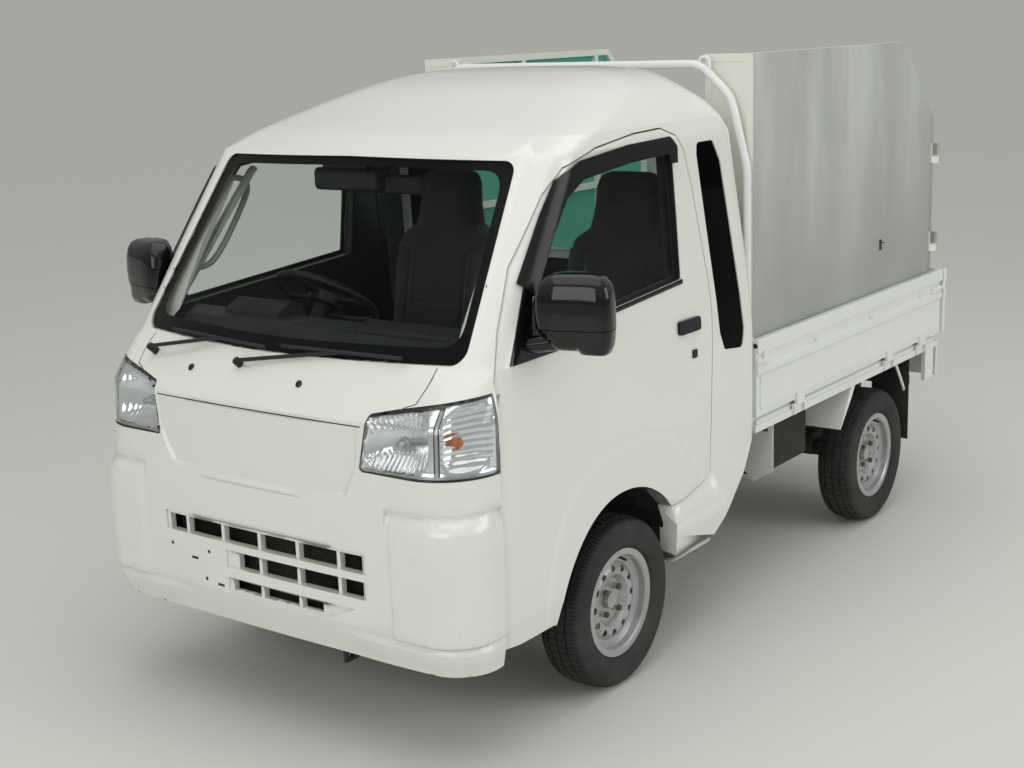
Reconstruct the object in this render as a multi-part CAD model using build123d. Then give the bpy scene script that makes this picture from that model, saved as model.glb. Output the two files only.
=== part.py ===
"""Kei truck with a raised cab roof, a drop-side bed and sheet metal box sides on the bed.

Millimetres. The truck faces -Y, +X is its left side, +Z is up.
The origin is on the floor under the centre of the truck's box.
"""
from build123d import *
import os
from math import atan2, cos, radians, sin, sqrt

# Driving dimensions
WIDTH = 1475.0
LENGTH = 3395.0
HALF = WIDTH / 2
FRONT_Y = -LENGTH / 2
REAR_Y = LENGTH / 2
FRONT_AXLE_Y = -877.5
REAR_AXLE_Y = 1022.5
WHEEL_X = 652.5
GAP = 5.0

# Tyre 145/80 R12 on a 12 x 4 rim
TYRE_R = 268.5
TYRE_W = 145.0
RIM_R = 152.0
FLANGE_R = 170.0
RIM_W = 118.0
AXLE_Z = TYRE_R

# Steering axis of the left wheel, leaning inwards from the lower ball joint to the strut's top
STEER_LOW = (590.0, FRONT_AXLE_Y, 165.0)
STEER_TOP = (480.0, FRONT_AXLE_Y, 630.0)

# Cab walls
DOOR_T = 60.0
PILLAR_FRONT_T = 60.0
NOSE_T = 110.0
REAR_T = 45.0
ROOF_T = 40.0
GLASS_T = 5.0
GLASS_IN = 4.0
DOOR_GLASS_IN = 20.0
BUMPER_T = 25.0
CAB_REAR_Y = -38.0
ROOF_SEAM_Z = 1700.0
BELT_Z = 1118.0
FLOOR_Z = 430.0
SEAT_BOX_Z = 700.0
SEAT_BOX_FRONT_Y = -760.0

# Bed
BED_Z = 660.0
BED_FRONT_Y = 0.0
BED_REAR_Y = 1652.0
GATE_IN_X = 709.0
GATE_OUT_X = 737.0
GATE_TOP_Z = 937.0
GATE_BOTTOM_Z = 664.0
GATE_HINGE_Z = 646.0
TAILGATE_Y = 1661.0
BED_WALL_Z = 940.0

# Box on the bed
SKIN_X = 703.0
SKIN_T = 2.0
TUBE = 25.0
BOX_TOP_Z = 1893.0
BOX_REAR_Y = 1563.0
BOX_CHAMFER_Y = 1252.0
BOX_CHAMFER_Z = 1602.0
BOX_BOTTOM_Z = BED_Z
BOX_HINGE_X = 722.0
BOX_HINGE_Y = 1586.0
BOX_PIN_R = 5.0
BOX_HINGES_Z = (1066.0, 1434.0)

os.makedirs("parts", exist_ok=True)


def save(name, *solids):
    """One node: its solids go into one file."""
    pieces = []
    for shape in solids:
        pieces += list(shape.solids())
    export_step(Compound(children=pieces) if len(pieces) > 1 else pieces[0], f"parts/{name}.step")


def box(x0, x1, y0, y1, z0, z1):
    """A block between two corners."""
    return Pos((x0 + x1) / 2, (y0 + y1) / 2, (z0 + z1) / 2) * Box(abs(x1 - x0), abs(y1 - y0), abs(z1 - z0))


def side_prism(points, x0, x1):
    """A closed side view outline of (Y, Z) points, carried across from x0 to x1."""
    face = Plane.YZ.offset(x0) * make_face(Polyline(*[(y, z) for y, z in points], close=True))
    return extrude(face, x1 - x0)


def rounded_side_prism(points, radius, x0, x1):
    """The same with every corner rounded."""
    face = Plane.YZ.offset(x0) * make_face(FilletPolyline(*points, radius=radius, close=True))
    return extrude(face, x1 - x0)


def front_prism(points, radius, y0, y1):
    """A closed front view outline of (X, Z) points with rounded corners, carried from y0 to y1."""
    face = make_face(FilletPolyline(*[(x, 0, z) for x, z in points], radius=radius, close=True))
    return extrude(Pos(0, y0, 0) * face, amount=y1 - y0, dir=(0, 1, 0))


def mirrored(shape):
    """The same piece on the other side of the truck."""
    return mirror(shape, about=Plane.YZ)


def cylinder_x(x0, x1, y, z, radius):
    """A round bar across the truck."""
    return Pos((x0 + x1) / 2, y, z) * Rot(0, 90, 0) * Cylinder(radius, abs(x1 - x0))


def cylinder_y(x, y0, y1, z, radius):
    """A round bar along the truck."""
    return Pos(x, (y0 + y1) / 2, z) * Rot(90, 0, 0) * Cylinder(radius, abs(y1 - y0))


def cylinder_z(x, y, z0, z1, radius):
    """An upright round bar."""
    return Pos(x, y, (z0 + z1) / 2) * Cylinder(radius, z1 - z0)


def rod(start, end, radius):
    """A straight round bar between two points."""
    a, b = Vector(*start), Vector(*end)
    plane = Plane(origin=a, z_dir=(b - a))
    return extrude(plane * Circle(radius), (b - a).length)


# Cab body: plan sections from the bumper's lower edge to the roof's crown.
# Columns: height, front at the middle, half width, bow radius of the front,
# front corner radius, rear, rear corner radius.
BODY_ROWS = [
    (297.0, -1665.0, 728.0, 3345.0, 240.0, CAB_REAR_Y, 40.0),
    (400.0, FRONT_Y, 737.0, 3345.0, 240.0, CAB_REAR_Y, 40.0),
    (740.0, FRONT_Y, 737.0, 3345.0, 240.0, CAB_REAR_Y, 40.0),
    (985.0, -1690.0, 736.0, 3345.0, 240.0, CAB_REAR_Y, 40.0),
    (BELT_Z, -1598.0, 729.0, 2421.0, 126.0, CAB_REAR_Y, 50.0),
    (1652.0, -1207.0, 683.0, 2600.0, 120.0, CAB_REAR_Y, 130.0),
]
ROOF_ROWS = [
    (1652.0, -1207.0, 683.0, 2600.0, 120.0, CAB_REAR_Y, 130.0),
    (ROOF_SEAM_Z, -1085.0, 664.0, 2600.0, 150.0, -45.0, 150.0),
    (1760.0, -890.0, 615.0, 2600.0, 180.0, -80.0, 160.0),
    (1820.0, -690.0, 540.0, 2600.0, 200.0, -150.0, 160.0),
    (1855.0, -520.0, 430.0, 2600.0, 120.0, -190.0, 100.0),
    (1868.0, -420.0, 300.0, 2600.0, 80.0, -230.0, 60.0),
]


def plan_section(row, side_in, front_in, rear_in, drop):
    """One plan outline of the cab body, made of arcs and lines, moved inwards by the given amounts."""
    z, front, half, bow, corner, rear, rear_corner = row
    front += front_in
    half -= side_in
    rear -= rear_in
    corner = max(corner - side_in, 30.0)
    rear_corner = max(rear_corner - rear_in, 12.0)
    bow_y = front + bow
    corner_x = half - corner
    corner_y = bow_y - sqrt((bow - corner) ** 2 - corner_x ** 2)
    lean = atan2(corner_x, bow_y - corner_y)
    touch_x, touch_y = bow * sin(lean), bow_y - bow * cos(lean)
    middle = (radians(90) + lean) / 2
    mid_x, mid_y = corner_x + corner * sin(middle), corner_y - corner * cos(middle)
    back_x = half - rear_corner
    back_y = rear - rear_corner
    bend = rear_corner * sin(radians(45))
    outline = [
        ThreePointArc((-touch_x, touch_y), (0, front), (touch_x, touch_y)),
        ThreePointArc((touch_x, touch_y), (mid_x, mid_y), (half, corner_y)),
        Line((half, corner_y), (half, back_y)),
        ThreePointArc((half, back_y), (back_x + bend, back_y + bend), (back_x, rear)),
        Line((back_x, rear), (-back_x, rear)),
        ThreePointArc((-back_x, rear), (-back_x - bend, back_y + bend), (-half, back_y)),
        Line((-half, back_y), (-half, corner_y)),
        ThreePointArc((-half, corner_y), (-mid_x, mid_y), (-touch_x, touch_y)),
    ]
    return Pos(0, 0, z - drop) * make_face(Curve() + outline)


def lower_body(side_in, front_in, nose_in, rear_in):
    """The cab's solid form up to the top of the windscreen, moved inwards."""
    rows = [plan_section(r, side_in, nose_in if r[0] < BELT_Z else front_in, rear_in, 0) for r in BODY_ROWS]
    return loft(rows, ruled=True)


def upper_body(side_in, front_in, rear_in, roof_in):
    """The raised roof's solid form, moved inwards and down."""
    rows = [plan_section(ROOF_ROWS[0], side_in, front_in, rear_in, 0)]
    rows += [plan_section(r, side_in, front_in, rear_in, roof_in) for r in ROOF_ROWS[1:]]
    return loft(rows, ruled=True)


def body(side_in=0.0, front_in=0.0, nose_in=0.0, rear_in=0.0, roof_in=0.0, floor=None):
    """The cab's solid form, moved inwards: the sides, the windscreen, the nose below it, the back, the roof."""
    whole = lower_body(side_in, front_in, nose_in, rear_in) + upper_body(side_in, front_in, rear_in, roof_in)
    if floor is not None:
        whole -= box(-900, 900, -1900, 200, 0, floor)
    return whole


def even(inset, floor=None):
    """The form moved inwards by one amount on every side."""
    return body(inset, inset, inset, inset, inset, floor)


# Side view outlines of the door, its window, the quarter window and the wheel arch: (Y, Z)
ARCH = [(-1249, 324), (-1184, 474), (-1090, 574), (-986, 627), (-881, 640), (-771, 622), (-683, 578),
        (-614, 512), (-580, 438), (-580, 363)]
DOOR_FRONT = [(-1484, 331), (-1484, 600), (-1486, 859), (-1475, 1087), (-1415, 1206), (-1315, 1368),
              (-1164, 1549), (-1083, 1615), (-920, 1656), (-700, 1680), (-542, 1685), (-468, 1658),
              (-434, 1614), (-402, 1492), (-348, 1194), (-339, 1080), (-355, 779), (-368, 575),
              (-392, 545), (-431, 534), (-542, 511), (-612, 511)]
DOOR = DOOR_FRONT + ARCH[-4::-1] + [(-1246, 331)]
WINDOW = [(-1380, 1160), (-1304, 1322), (-1203, 1480), (-1130, 1568), (-1027, 1615), (-763, 1641),
          (-530, 1648), (-502, 1620), (-506, 1420), (-514, 1221)]
QUARTER = [(-349, 1630), (-245, 1630), (-205, 1560), (-125, 1000), (-138, 935), (-262, 950), (-290, 1010),
           (-321, 1276), (-355, 1590)]
SCREEN = [(-636, 1128), (0, 1123), (636, 1128), (572, 1640), (0, 1648), (-572, 1640)]
BACK_WINDOW = [(-500, 1180), (500, 1180), (480, 1560), (-480, 1560)]
REAR_CUT = [(-328, 331), (-261, 373), (-130, 501), (-53, 635), (60, 655), (60, 200), (-328, 200)]


def arch_prism(grow, x0, x1):
    """The front wheel arch's opening, grown outwards, open at its foot."""
    outline = Polyline(*(ARCH + [(-560, 250), (-1290, 250)]), close=True)
    face = make_face(outline)
    if grow:
        face = offset(face, amount=grow)
    return extrude(Plane.YZ.offset(x0) * face, x1 - x0)


def grown_side_prism(points, grow, x0, x1):
    """A side view outline, grown outwards, carried from x0 to x1."""
    face = offset(make_face(Polyline(*points, close=True)), amount=grow)
    return extrude(Plane.YZ.offset(x0) * face, x1 - x0)


def both(shape):
    """A piece and its mirror image."""
    return [shape, mirrored(shape)]


OUTER = even(0)
DOOR_SHELL = OUTER - body(DOOR_T, PILLAR_FRONT_T, DOOR_T, REAR_T, ROOF_T)


def row_at(height):
    """The body's plan row at a height between two of its rows."""
    for a, b in zip(BODY_ROWS, BODY_ROWS[1:]):
        if a[0] <= height <= b[0]:
            part = (height - a[0]) / (b[0] - a[0])
            return (height,) + tuple(u + (v - u) * part for u, v in zip(a[1:], b[1:]))


def groove(low, apex, high, depth):
    """The ring that a V groove takes out of the nose: shallow at its lower and upper edge, deep at its apex."""
    rows = []
    for height, inset in ((low, -0.5), (apex, depth), (high, -0.5)):
        rows.append(plan_section(row_at(height), inset, inset, 0, 0))
    return (OUTER & box(-900, 900, -1900, -1484 - GAP - 2, low, high)) - loft(rows, ruled=True)


def front_relief():
    """Pressed forms of the nose: the set back middle panel, the grooves over the bumper's corners and its lip."""
    leaned = Pos(0, -1690, 972) * Rot(3.6, 0, 0) * Pos(0, 1690, -972) * OUTER
    # Columns: depth Y, then the outline's corners (X, Z)
    outlines = [(FRONT_Y - 12, [(-380, 742), (372, 742), (425, 850), (448, 1100), (-460, 1100), (-440, 850)]),
                (FRONT_Y + 58, [(-322, 805), (316, 805), (362, 885), (380, 1100), (-390, 1100), (-374, 885)])]
    rows = [make_face(Polyline(*[(x, y, z) for x, z in points], close=True)) for y, points in outlines]
    relief = (OUTER - leaned) & loft(rows, ruled=True) & box(-500, 500, -1900, -1500, 745, 971)
    corner = groove(707, 746, 760, 13)
    relief += corner & (box(476, 900, -1900, -1400, 700, 765) + box(-900, -476, -1900, -1400, 700, 765))
    relief += groove(357, 363, 402, 6)
    return relief


RELIEF = front_relief()


def cab():
    """Body shell of the cab below the roof seam, with the floor, the seat box and the wheel houses."""
    hollow = body(DOOR_T, PILLAR_FRONT_T, NOSE_T, REAR_T, ROOF_T, floor=FLOOR_Z)
    shell = OUTER - hollow
    # the doors' front edges turn in these recesses
    jamb = body(DOOR_T - 2, PILLAR_FRONT_T - 2, DOOR_T - 2, 0, 0)
    jamb &= box(600, 740, -1484 - GAP, -1385, 400, 1125) + box(-740, -600, -1484 - GAP, -1385, 400, 1125)
    shell -= jamb
    # seat box over the engine
    shell += body(DOOR_T, 0, 0, REAR_T, ROOF_T) & box(-700, 700, SEAT_BOX_FRONT_Y, CAB_REAR_Y, FLOOR_Z, SEAT_BOX_Z)
    # wheel houses
    for house in both(arch_prism(14, 395, 700)):
        shell += house & box(-700, 700, -1300, -540, FLOOR_Z - 20, 700)
    shell -= box(-655, 655, -1605, -700, 200, FLOOR_Z - 25)
    shell -= box(-400, 400, SEAT_BOX_FRONT_Y + 25, 0, 200, 655)
    shell -= side_prism([(-735, 200), (-735, SEAT_BOX_Z - 20), (-95, SEAT_BOX_Z - 20), (-95, 660),
                         (-175, 545), (-300, 415), (-370, 360), (-370, 200)], -600, 600)
    for house in both(arch_prism(0, 409, 760)):
        shell -= house
    shell -= side_prism(REAR_CUT, -800, 800)
    shell -= box(-900, 900, -1484, 200, 0, 331)
    # sill steps under the doors
    for side in (-1, 1):
        shell += box(side * 655, side * 716, -570, -331, 306, 333)
    shell -= RELIEF
    # the bumper has its own place ahead of the side panels
    shell -= (OUTER - even(BUMPER_T)) & box(-900, 900, -1900, -1484 - GAP - 2, 200, 744)
    shell -= box(-900, 900, -1900, -1400, 200, 400)
    # grille duct behind the bumper
    shell -= box(-400, 400, -1690, -1612, 405, 625)
    # lamp pockets
    for pocket in both(lamp_solid(0)):
        shell -= pocket
    # openings
    shell -= front_prism(SCREEN, 40, -1700, -1000)
    for x in (560, -800):
        shell -= rounded_side_prism(QUARTER, 18, x, x + 240)
    shell -= front_prism(BACK_WINDOW, 50, -200, 50)
    for pivot in wiper_pivots():
        shell -= pivot
    for x in (560, -800):
        shell -= grown_side_prism(DOOR, GAP, x, x + 240) & DOOR_CUTTER
    return shell


def lamp_solid(inset):
    """The space of one headlamp in the front corner, between the body's surface and the lamp's back."""
    outline = [(398, 850), (560, 846), (760, 846), (760, 1075), (505, 1026), (425, 1008)]
    prism = front_prism(outline, 12, -1800, -1488)
    return prism & (lower_body(inset, inset, inset, 0) - lower_body(95, 95, 95, 0))


DOOR_CUTTER = even(-2) - body(DOOR_T + 2, PILLAR_FRONT_T + 2, DOOR_T + 2, REAR_T, ROOF_T)


def front_door():
    """The left door: outer panel and frame as thick as the wall, with its window cut."""
    door = DOOR_SHELL & side_prism(DOOR, 560, 800)
    door -= side_prism(WINDOW, 560, 800)
    return door


def pane(outline_prism, inside):
    """A sheet of glass that follows the body's surface."""
    return (even(inside) - even(inside + GLASS_T)) & outline_prism


def mirror_piece():
    """The left door mirror: foot on the sail, arm and head turned a little to the rear."""
    foot = side_prism([(-1421, 1122), (-1350, 1251), (-1310, 1322), (-1290, 1322), (-1250, 1180), (-1200, 1125)],
                      640, 800) & (even(-4) - OUTER)
    arm = rod((700, -1330, 1160), (815, -1300, 1178), 24) - OUTER
    outline = [(-84, -104), (84, -104), (84, 104), (-84, 104)]
    head = front_prism(outline, 56, -48, 40)
    head = fillet(head.edges().group_by(Axis.Y)[0], 34)
    return foot + arm + Pos(849, -1285, 1258) * Rot(0, 0, 16) * head


def door_fittings():
    """The left door's rain visor over the window, its handle and lock."""
    visor = side_prism([(-1330, 1330), (-1203, 1500), (-1130, 1588), (-1020, 1632), (-763, 1656), (-520, 1662),
                        (-485, 1630), (-490, 1580), (-530, 1580), (-540, 1610), (-763, 1602), (-1010, 1578),
                        (-1100, 1535), (-1180, 1440), (-1290, 1290)], 600, 800)
    visor = visor & (even(-12) - even(-8))
    handle = rounded_side_prism([(-555, 1048), (-424, 1048), (-424, 1092), (-555, 1092)], 12, 690, 800)
    handle = handle & (even(-10) - even(0))
    lock = side_prism([(-472, 962), (-448, 962), (-448, 988), (-472, 988)], 690, 800)
    lock = lock & (even(-6) - even(0))
    return [visor, handle, lock]


def bumper():
    """Front bumper with its stepped grille: rows of openings cut through a curved shell."""
    shell = (OUTER - even(BUMPER_T)) & box(-900, 900, -1900, -1484 - GAP - 2, 290, 744)
    # Columns: row's lower and upper height, left and right limits, the bars between
    grille = [(557.0, 608.0, -384.0, 395.0, [-306.0, -152.0, 0.0, 152.0, 308.0]),
              (482.0, 535.0, -89.0, 395.0, [0.0, 152.0, 308.0]),
              (411.0, 450.0, -120.0, 240.0, [0.0, 152.0])]
    bar = 6.0
    for low, high, left, right, bars in grille:
        edges = [left - bar] + bars + [right + bar]
        for a, b in zip(edges, edges[1:]):
            shell -= box(a + bar, b - bar, -1760, -1560, low, high)
    # the grille's field is set back, with its horizontal bars standing out
    field = [(-398, 618), (-398, 548), (-138, 540), (-138, 402), (254, 402), (412, 470), (412, 618)]
    field = front_prism(field, 8, -1760, -1560) & (OUTER - even(6))
    for low, high in ((535.0, 557.0), (450.0, 482.0)):
        field -= box(-500, 500, -1760, -1560, low, high)
    shell -= field
    shell -= RELIEF
    return shell


def windows_fixed():
    """Rear window and the two quarter windows."""
    back = box(-500, 500, CAB_REAR_Y - 14, CAB_REAR_Y - 9, 1170, 1570)
    back = back & front_prism(BACK_WINDOW, 50, -200, 50)
    side = pane(rounded_side_prism(QUARTER, 18, 560, 800), GLASS_IN)
    return [back, side, mirrored(side)]


def dashboard():
    """Dashboard across the cab under the windscreen, with the steering column."""
    profile = [(-1620, 800), (-1620, 1085), (-1480, 1112), (-1400, 1158), (-1290, 1166), (-1236, 1130), (-1215, 960),
               (-1260, 900), (-1270, 790), (-1330, 760), (-1500, 760)]
    board = rounded_side_prism(profile, 18, -640, 640)
    hood = rounded_side_prism([(-1360, 1120), (-1345, 1175), (-1280, 1202), (-1236, 1192), (-1228, 1120)], 12, -445, -215)
    pad = rounded_side_prism([(-1400, 1120), (-1380, 1170), (-1320, 1186), (-1262, 1170), (-1250, 1120)], 12, 140, 610)
    board = (board + hood + pad) & lower_body(DOOR_T + 4, PILLAR_FRONT_T + 4, NOSE_T + 0.5, 0)
    board -= box(380, 700, -1700, -1480, 700, 1078) + box(-700, -380, -1700, -1480, 700, 1078)
    # the doors' front edges swing past its upper ends
    corner = make_face(Polyline((560, -1500), (560, -1422), (600, -1340), (640, -1290), (700, -1290), (700, -1500),
                                close=True))
    for end in both(extrude(Pos(0, 0, 1040) * corner, 200)):
        board -= end
    hub = STEERING_WHEEL * Pos(0, 0, -29)
    column = hub * Pos(0, 0, -220) * Cylinder(30, 440)
    return board + column


STEERING_WHEEL = Pos(-335, -1000, 1160) * Rot(-36, 0, 0)


def steering_wheel():
    """Rim, hub and three spokes, tilted towards the driver on the right side."""
    rim = Torus(170, 12)
    hub = Pos(0, 0, -12) * Cylinder(60, 34)
    wheel = rim + hub
    for turn in (0, 180, 270):
        wheel += Rot(0, 0, turn) * Pos(110, 0, -6) * Box(120, 34, 12)
    return STEERING_WHEEL * wheel


DRIVER_SEAT_FORWARD = 70.0


def seat(x, forward):
    """One seat: cushion, back and built-in head rest in one form, slid forward on its rails."""
    side = [(-725, 716), (-330, 706), (-200, 716), (-150, 1000), (-138, 1340), (-128, 1500), (-190, 1530),
            (-235, 1500), (-262, 1330), (-330, 1000), (-372, 862), (-730, 862), (-770, 800)]
    form = rounded_side_prism(side, 24, x - 235, x + 235)
    front = [(x - 235, 700), (x + 235, 700), (x + 235, 1270), (x + 150, 1345), (x + 130, 1545), (x - 130, 1545),
             (x - 150, 1345), (x - 235, 1270)]
    form &= front_prism(front, 22, -900, 0)
    for rail_x in (x - 165, x + 165):
        form += box(rail_x - 14, rail_x + 14, -690, -250, SEAT_BOX_Z, 724)
    return Pos(0, -forward, 0) * form


# Wipers. Columns: pivot, blade's two ends, each (X, Y, Z)
WIPERS = [((-100, -1636, 1098), (60, -1606, 1150), (470, -1563, 1146)),
          ((-500, -1612, 1098), (-430, -1574, 1150), (0, -1613, 1142))]


def wiper_pivots():
    """The pivots' places in the cowl."""
    return [rod((x, y + 30, z - 26), (x, y, z), 12) for (x, y, z), start, end in WIPERS]


def wipers():
    """Two wipers, each a pivot, an arm and a blade resting on the windscreen's foot."""
    pieces = []
    for (pivot, start, end), post in zip(WIPERS, wiper_pivots()):
        middle = tuple((a + b) / 2 for a, b in zip(start, end))
        arm = rod(pivot, middle, 6) + rod(start, end, 5)
        pieces.append((arm - OUTER) + post)
    return pieces


def cabin_mirror():
    """Inner mirror and camera housing behind the top of the windscreen."""
    housing = fillet(box(-238, 20, -1130, -1040, 1530, 1600).edges(), 16)
    housing += box(-200, -20, -1120, -1070, 1580, 1720)
    glass = fillet(box(-25, 165, -1085, -1060, 1522, 1580).edges(), 10)
    stem = rod((10, -1075, 1550), (-5, -1075, 1585), 9)
    return (housing + glass + stem) & body(DOOR_T, PILLAR_FRONT_T, NOSE_T, REAR_T, ROOF_T)


def guard_frame():
    """Tube frame between the cab and the bed, round the cab's back, with two rope loops."""
    tube = 14.0
    route = [(690, -19, BED_WALL_Z), (690, -19, 1516), (632, -24, 1755), (520, -30, 1862)]
    route += [(-x, y, z) for x, y, z in reversed(route)]
    path = FilletPolyline(*route, radius=[150, 120, 90, 90, 120, 150])
    frame = sweep(Plane(origin=path @ 0, z_dir=path % 0) * Circle(tube), path=path)
    for x in (-535, 535):
        hoop = FilletPolyline((x - 22, -30, 1845), (x - 16, -30, 1885), (x + 16, -30, 1885), (x + 22, -30, 1845),
                              radius=12)
        frame += sweep(Plane(origin=hoop @ 0, z_dir=hoop % 0) * Circle(5), path=hoop)
    frame += box(-690, 690, -25, -13, 1180, 1205)
    for x in (-345, 0, 345):
        frame += box(x - 12, x + 12, -25, -13, BED_WALL_Z, 1205)
    return frame


# Gate hinges: pins across two lugs on the bed's sill, the gate's eye between them
GATE_PIN_X = 733.0
TAIL_PIN_Y = 1693.0
GATE_PIN_R = 2.5
GATE_EYE_R = 4.5
SIDE_HINGES_Y = (305.0, 1110.0, 1445.0)
TAIL_HINGES_X = (-560.0, 0.0, 560.0)


def bed():
    """Bed floor with cross beams, side sills, front wall, the gates' hinge lugs and white brackets under it."""
    shape = box(-705, 705, BED_FRONT_Y, BED_REAR_Y, BED_Z - 16, BED_Z)
    for y in (30, 300, 590, 880, 1170, 1440, 1620):
        shape += box(-690, 690, y - 22, y + 22, 600, BED_Z - 16)
    shape += box(-705, 705, -26, 0, 606, BED_WALL_Z)
    for x in (-420, -140, 140, 420):
        shape += box(x - 25, x + 25, 0, 5, BED_Z, 905)
    shape += box(-705, 705, BED_REAR_Y - 30, BED_REAR_Y + 3, 600, BED_Z - 20)
    # mud guards ahead of the rear wheels, brackets behind the cab and plates at the rear corners
    guard = side_prism([(776, 608), (781, 608), (681, 455), (676, 455)], 545, 720)
    guard += side_prism([(706, 502), (776, 608), (810, 608), (776, 560), (681, 455), (676, 455)], 715, 720)
    bracket = front_prism([(705, 608), (705, 422), (622, 372), (565, 446), (500, 415), (500, 608)], 8, 146, 150)
    bracket -= box(640, 685, 140, 160, 566, 596)
    corner = box(701, 718, 1525, 1613, 474, 612)
    corner += box(515, 718, 1642, 1657, 476, 604)
    one_side = guard + bracket + corner + box(690, 723, -20, BED_REAR_Y, 606, BED_Z - 30)
    for y in SIDE_HINGES_Y:
        lugs = box(722, 735.5, y - 46, y - 34, 612, 649.5) + box(722, 735.5, y + 34, y + 46, 612, 649.5)
        one_side += lugs + cylinder_y(GATE_PIN_X, y - 40, y + 40, GATE_HINGE_Z, GATE_PIN_R)
    shape += one_side + mirrored(one_side)
    for x in TAIL_HINGES_X:
        shape += box(x - 54, x - 42, 1640, 1695.5, 612, 649.5) + box(x + 42, x + 54, 1640, 1695.5, 612, 649.5)
        shape += cylinder_x(x - 48, x + 48, TAIL_PIN_Y, GATE_HINGE_Z, GATE_PIN_R)
    return shape


def gate_profile(inner, outer, bottom, top):
    """Pressed section of a gate: flat inside, with a box rail and a ridge outside."""
    rail = top - 47
    return [(inner, bottom), (outer - 9, bottom), (outer - 9, bottom + 140), (outer - 1, bottom + 152),
            (outer - 1, bottom + 172), (outer - 11, bottom + 184), (outer - 11, rail - 6), (outer, rail),
            (outer, top - 3), (outer - 3, top), (inner + 3, top), (inner, top - 3)]


def side_gate():
    """The left side gate: pressed panel, three hinges, end latches and rope hooks."""
    outline = [(x, 0, z) for x, z in gate_profile(GATE_IN_X, GATE_OUT_X, GATE_BOTTOM_Z, GATE_TOP_Z)]
    face = make_face(Polyline(*outline, close=True))
    gate = extrude(Pos(0, -24, 0) * face, amount=BED_REAR_Y + 20, dir=(0, 1, 0))
    # pressed frame line round the lower panel
    gate += box(GATE_OUT_X - 12, GATE_OUT_X - 4, 2, 16, GATE_BOTTOM_Z + 26, 806)
    gate += box(GATE_OUT_X - 12, GATE_OUT_X - 4, 2, 1620, GATE_BOTTOM_Z + 22, GATE_BOTTOM_Z + 30)
    for y in SIDE_HINGES_Y:
        gate += box(722, 736, y - 28, y + 28, GATE_HINGE_Z, GATE_BOTTOM_Z + 26)
        gate += cylinder_y(GATE_PIN_X, y - 28, y + 28, GATE_HINGE_Z, GATE_EYE_R)
        gate -= cylinder_y(GATE_PIN_X, y - 40, y + 40, GATE_HINGE_Z, GATE_PIN_R + 0.2)
    for y in (30, 1600):
        gate += box(GATE_OUT_X - 12, GATE_OUT_X + 0.5, y - 60, y + 30, 848, 872)
    return gate


def tailgate():
    """Rear gate across the bed's end, with two hinges and two latches."""
    outline = [(y, z) for y, z in gate_profile(TAILGATE_Y, REAR_Y - 4, GATE_BOTTOM_Z, GATE_TOP_Z)]
    gate = side_prism(outline, -HALF + 0.5, HALF - 0.5)
    for x in TAIL_HINGES_X:
        gate += box(x - 36, x + 36, REAR_Y - 16, REAR_Y - 2, GATE_HINGE_Z, GATE_BOTTOM_Z + 24)
        gate += cylinder_x(x - 36, x + 36, TAIL_PIN_Y, GATE_HINGE_Z, GATE_EYE_R)
        gate -= cylinder_x(x - 50, x + 50, TAIL_PIN_Y, GATE_HINGE_Z, GATE_PIN_R + 0.2)
    for x in (-640, 640):
        gate += box(x - 45, x + 45, REAR_Y - 18, REAR_Y, 850, 872)
    return gate


BOX_POSTS_Y = [0.0, 185.0, 598.0, 1142.0]


def box_outline(inset):
    """Side view outline of the box side, moved inwards."""
    return [(inset, BOX_BOTTOM_Z + inset), (inset, BOX_TOP_Z - inset), (BOX_CHAMFER_Y - inset * 0.45, BOX_TOP_Z - inset),
            (BOX_REAR_Y - inset, BOX_CHAMFER_Z - inset * 0.55), (BOX_REAR_Y - inset, BOX_BOTTOM_Z + inset)]


def box_frame():
    """White square tube frames of both box sides with the front wings' posts."""
    x1 = SKIN_X - SKIN_T
    x0 = x1 - TUBE
    ring = side_prism(box_outline(0), x0, x1) - side_prism(box_outline(TUBE), x0 - 1, x1 + 1)
    for y in BOX_POSTS_Y[1:]:
        ring += box(x0, x1, y, y + TUBE, BOX_BOTTOM_Z, BOX_TOP_Z - 1)
    ring += box(x0, x1, 1, BOX_REAR_Y - 1, 1290, 1290 + TUBE)
    ring += box(x0, x1, 1, BOX_REAR_Y - 1, 945, 945 + TUBE)
    wing = box(520, x0, 2, 27, BOX_TOP_Z - TUBE, BOX_TOP_Z) + box(520, 545, 2, 27, BOX_BOTTOM_Z, BOX_TOP_Z)
    wing += box(520, x0, 4, 8, BOX_BOTTOM_Z, BOX_TOP_Z)
    side = ring + wing
    # hinge plates at the rear posts, each with a slanting strap that carries its pin
    for z in BOX_HINGES_Z:
        side += box(x0, 708, BOX_REAR_Y, BOX_REAR_Y + 5, z - 42, z + 42)
        strap = Rot(0, 0, -128.5) * box(0, 27, -4, 4, z - 42, z - 14)
        side += Pos(BOX_HINGE_X, BOX_HINGE_Y, 0) * strap
        side += cylinder_z(BOX_HINGE_X, BOX_HINGE_Y, z - 42, z + 40, BOX_PIN_R)
    return side


def box_skins():
    """Aluminium sheets on the outside of the box sides."""
    sheet = side_prism(box_outline(0), SKIN_X - SKIN_T, SKIN_X)
    return sheet


def box_linings():
    """Coloured boards between the posts, against the sheets."""
    x1 = SKIN_X - SKIN_T
    board = side_prism(box_outline(TUBE + 0.5), x1 - 5, x1 - 0.2)
    for y in BOX_POSTS_Y[1:]:
        board -= box(600, 800, y - 0.5, y + TUBE + 0.5, 0, 2000)
    for z in (945, 1290):
        board -= box(600, 800, -10, 1700, z - 0.5, z + TUBE + 0.5)
    return board


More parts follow.
